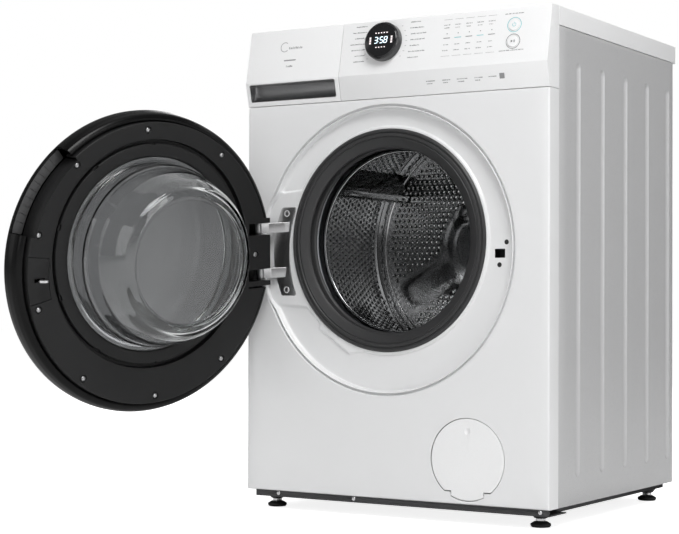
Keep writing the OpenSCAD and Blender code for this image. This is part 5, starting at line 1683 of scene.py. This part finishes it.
def studio_world():
    """White behind the object, a soft grey gradient as its light, darker sides seen through its glass."""
    world = bpy.data.worlds.new("studio")
    world.use_nodes = True
    world.node_tree.nodes.clear()
    w = Wiring(world.node_tree)
    camera_ray, through_ray = (w.new("ShaderNodeLightPath").outputs[key]
                               for key in ("Is Camera Ray", "Is Transmission Ray"))
    split = w.new("ShaderNodeSeparateXYZ")
    w.link(w.new("ShaderNodeTexCoord").outputs["Generated"], split.inputs[0])
    ramp = w.new("ShaderNodeValToRGB")
    for stop, place, grey in zip(ramp.color_ramp.elements, (0.45, 0.8), (0.55, 0.95)):
        stop.position = place
        stop.color = (grey, grey, grey, 1)
    w.link(w.span(split.outputs["Z"], -1, 1, 0, 1), ramp.inputs["Fac"])
    soft, seen = w.new("ShaderNodeBackground"), w.new("ShaderNodeBackground")
    soft.inputs["Strength"].default_value = WORLD_SOFT
    w.link(ramp.outputs["Color"], soft.inputs["Color"])
    seen.inputs["Color"].default_value = (1, 1, 1, 1)
    sides = w.span(split.outputs["Y"], 0.1, 0.7, 0.12, 1.0)
    w.link(w.math("MAXIMUM", sides, camera_ray), seen.inputs["Strength"])
    mix = w.new("ShaderNodeMixShader")
    w.link(w.math("MAXIMUM", camera_ray, through_ray), mix.inputs["Fac"])
    w.link(soft.outputs[0], mix.inputs[1])
    w.link(seen.outputs[0], mix.inputs[2])
    w.link(mix.outputs[0], w.new("ShaderNodeOutputWorld").inputs["Surface"])
    bpy.context.scene.world = world


def lights():
    area_light("key", (1.7, -2.0, 3.1), (0.1, -0.3, 0.5), (2.0, 1.6), 92)
    area_light("front_fill", (0.2, -3.8, 1.3), (0, -0.3, 0.5), (2.4, 2.0), 20)
    area_light("fill_left", (-2.8, -2.4, 1.4), (0, -0.2, 0.45), (1.6, 2.2), 8)
    area_light("side_strip", (3.2, -0.9, 1.3), (0.3, 0.05, 0.45), (0.7, 2.2), 16)
    area_light("rear_fill", (-1.6, 3.4, 2.2), (0, 0.2, 0.5), (2.4, 2.0), 60)
    area_light("overhead", (0, 0.2, 3.2), (0, 0, 0), (2.6, 2.6), 8)


# The camera, fitted to the cabinet's corners: place in metres, turns in radians, lens in millimetres.
CAMERA_AT = (1.46372, -2.76152, 0.36309)
CAMERA_YAW, CAMERA_PITCH, CAMERA_ROLL = 0.56182, 0.01372, 0.003919
CAMERA_LENS = 89.56
CAMERA_SHIFT_Y = 0.0222


def camera():
    data = bpy.data.cameras.new("photo_camera")
    data.lens = CAMERA_LENS
    data.sensor_width = 36.0
    data.sensor_fit = "HORIZONTAL"
    data.shift_y = CAMERA_SHIFT_Y
    data.clip_end = 60
    cam = bpy.data.objects.new("photo_camera", data)
    yaw, pitch, roll = CAMERA_YAW, CAMERA_PITCH, CAMERA_ROLL
    forward = Vector((-math.sin(yaw) * math.cos(pitch), math.cos(yaw) * math.cos(pitch), math.sin(pitch)))
    right = Vector((math.cos(yaw), math.sin(yaw), 0))
    up = right.cross(forward)
    c, s = math.cos(roll), math.sin(roll)
    basis = Matrix((right * c + up * s, up * c - right * s, -forward)).transposed()
    cam.matrix_world = Matrix.Translation(CAMERA_AT) @ basis.to_4x4()
    bpy.context.scene.collection.objects.link(cam)
    bpy.context.scene.camera = cam


FEET = {"foot_front_left": "foot_fl", "foot_front_right": "foot_fr", "foot_rear_left": "foot_rl",
        "foot_rear_right": "foot_rr"}


def build():
    m = make_materials()
    front_panel(m)
    side_panel("side_panel_right_pressing", "side_panel_right", 1, m)
    side_panel("side_panel_left_pressing", "side_panel_left", -1, m)
    worktop(m)
    for node, body in FEET.items():
        foot(node, body, m)
    for make in (lock_nuts, cabinet_screws, fascia, fascia_print):
        make(m)
    button("power_key", "power_button", "power", POWER_Z, power_glyph(BUTTON_X, POWER_Z), "turquoise", m)
    button("start_key", "start_button", "start", START_Z, start_glyph(BUTTON_X, START_Z), "print", m)
    for make in (selector, drawer_front, scoop_shade_liner, drawer_labels, door_shell, grip_lip, door_window,
                 door_frame, clamp_ring, door_glass, door_latch, door_screws, hinge_pins, hinge_bracket,
                 hinge_screws, gasket, drum_barrel, drum_front, drum_back, lifter_set, filter_flap,
                 edged_parts, hidden_parts, floor):
        make(m)


build()
studio_world()
lights()
camera()
bpy.context.scene.view_settings.view_transform = "Standard"
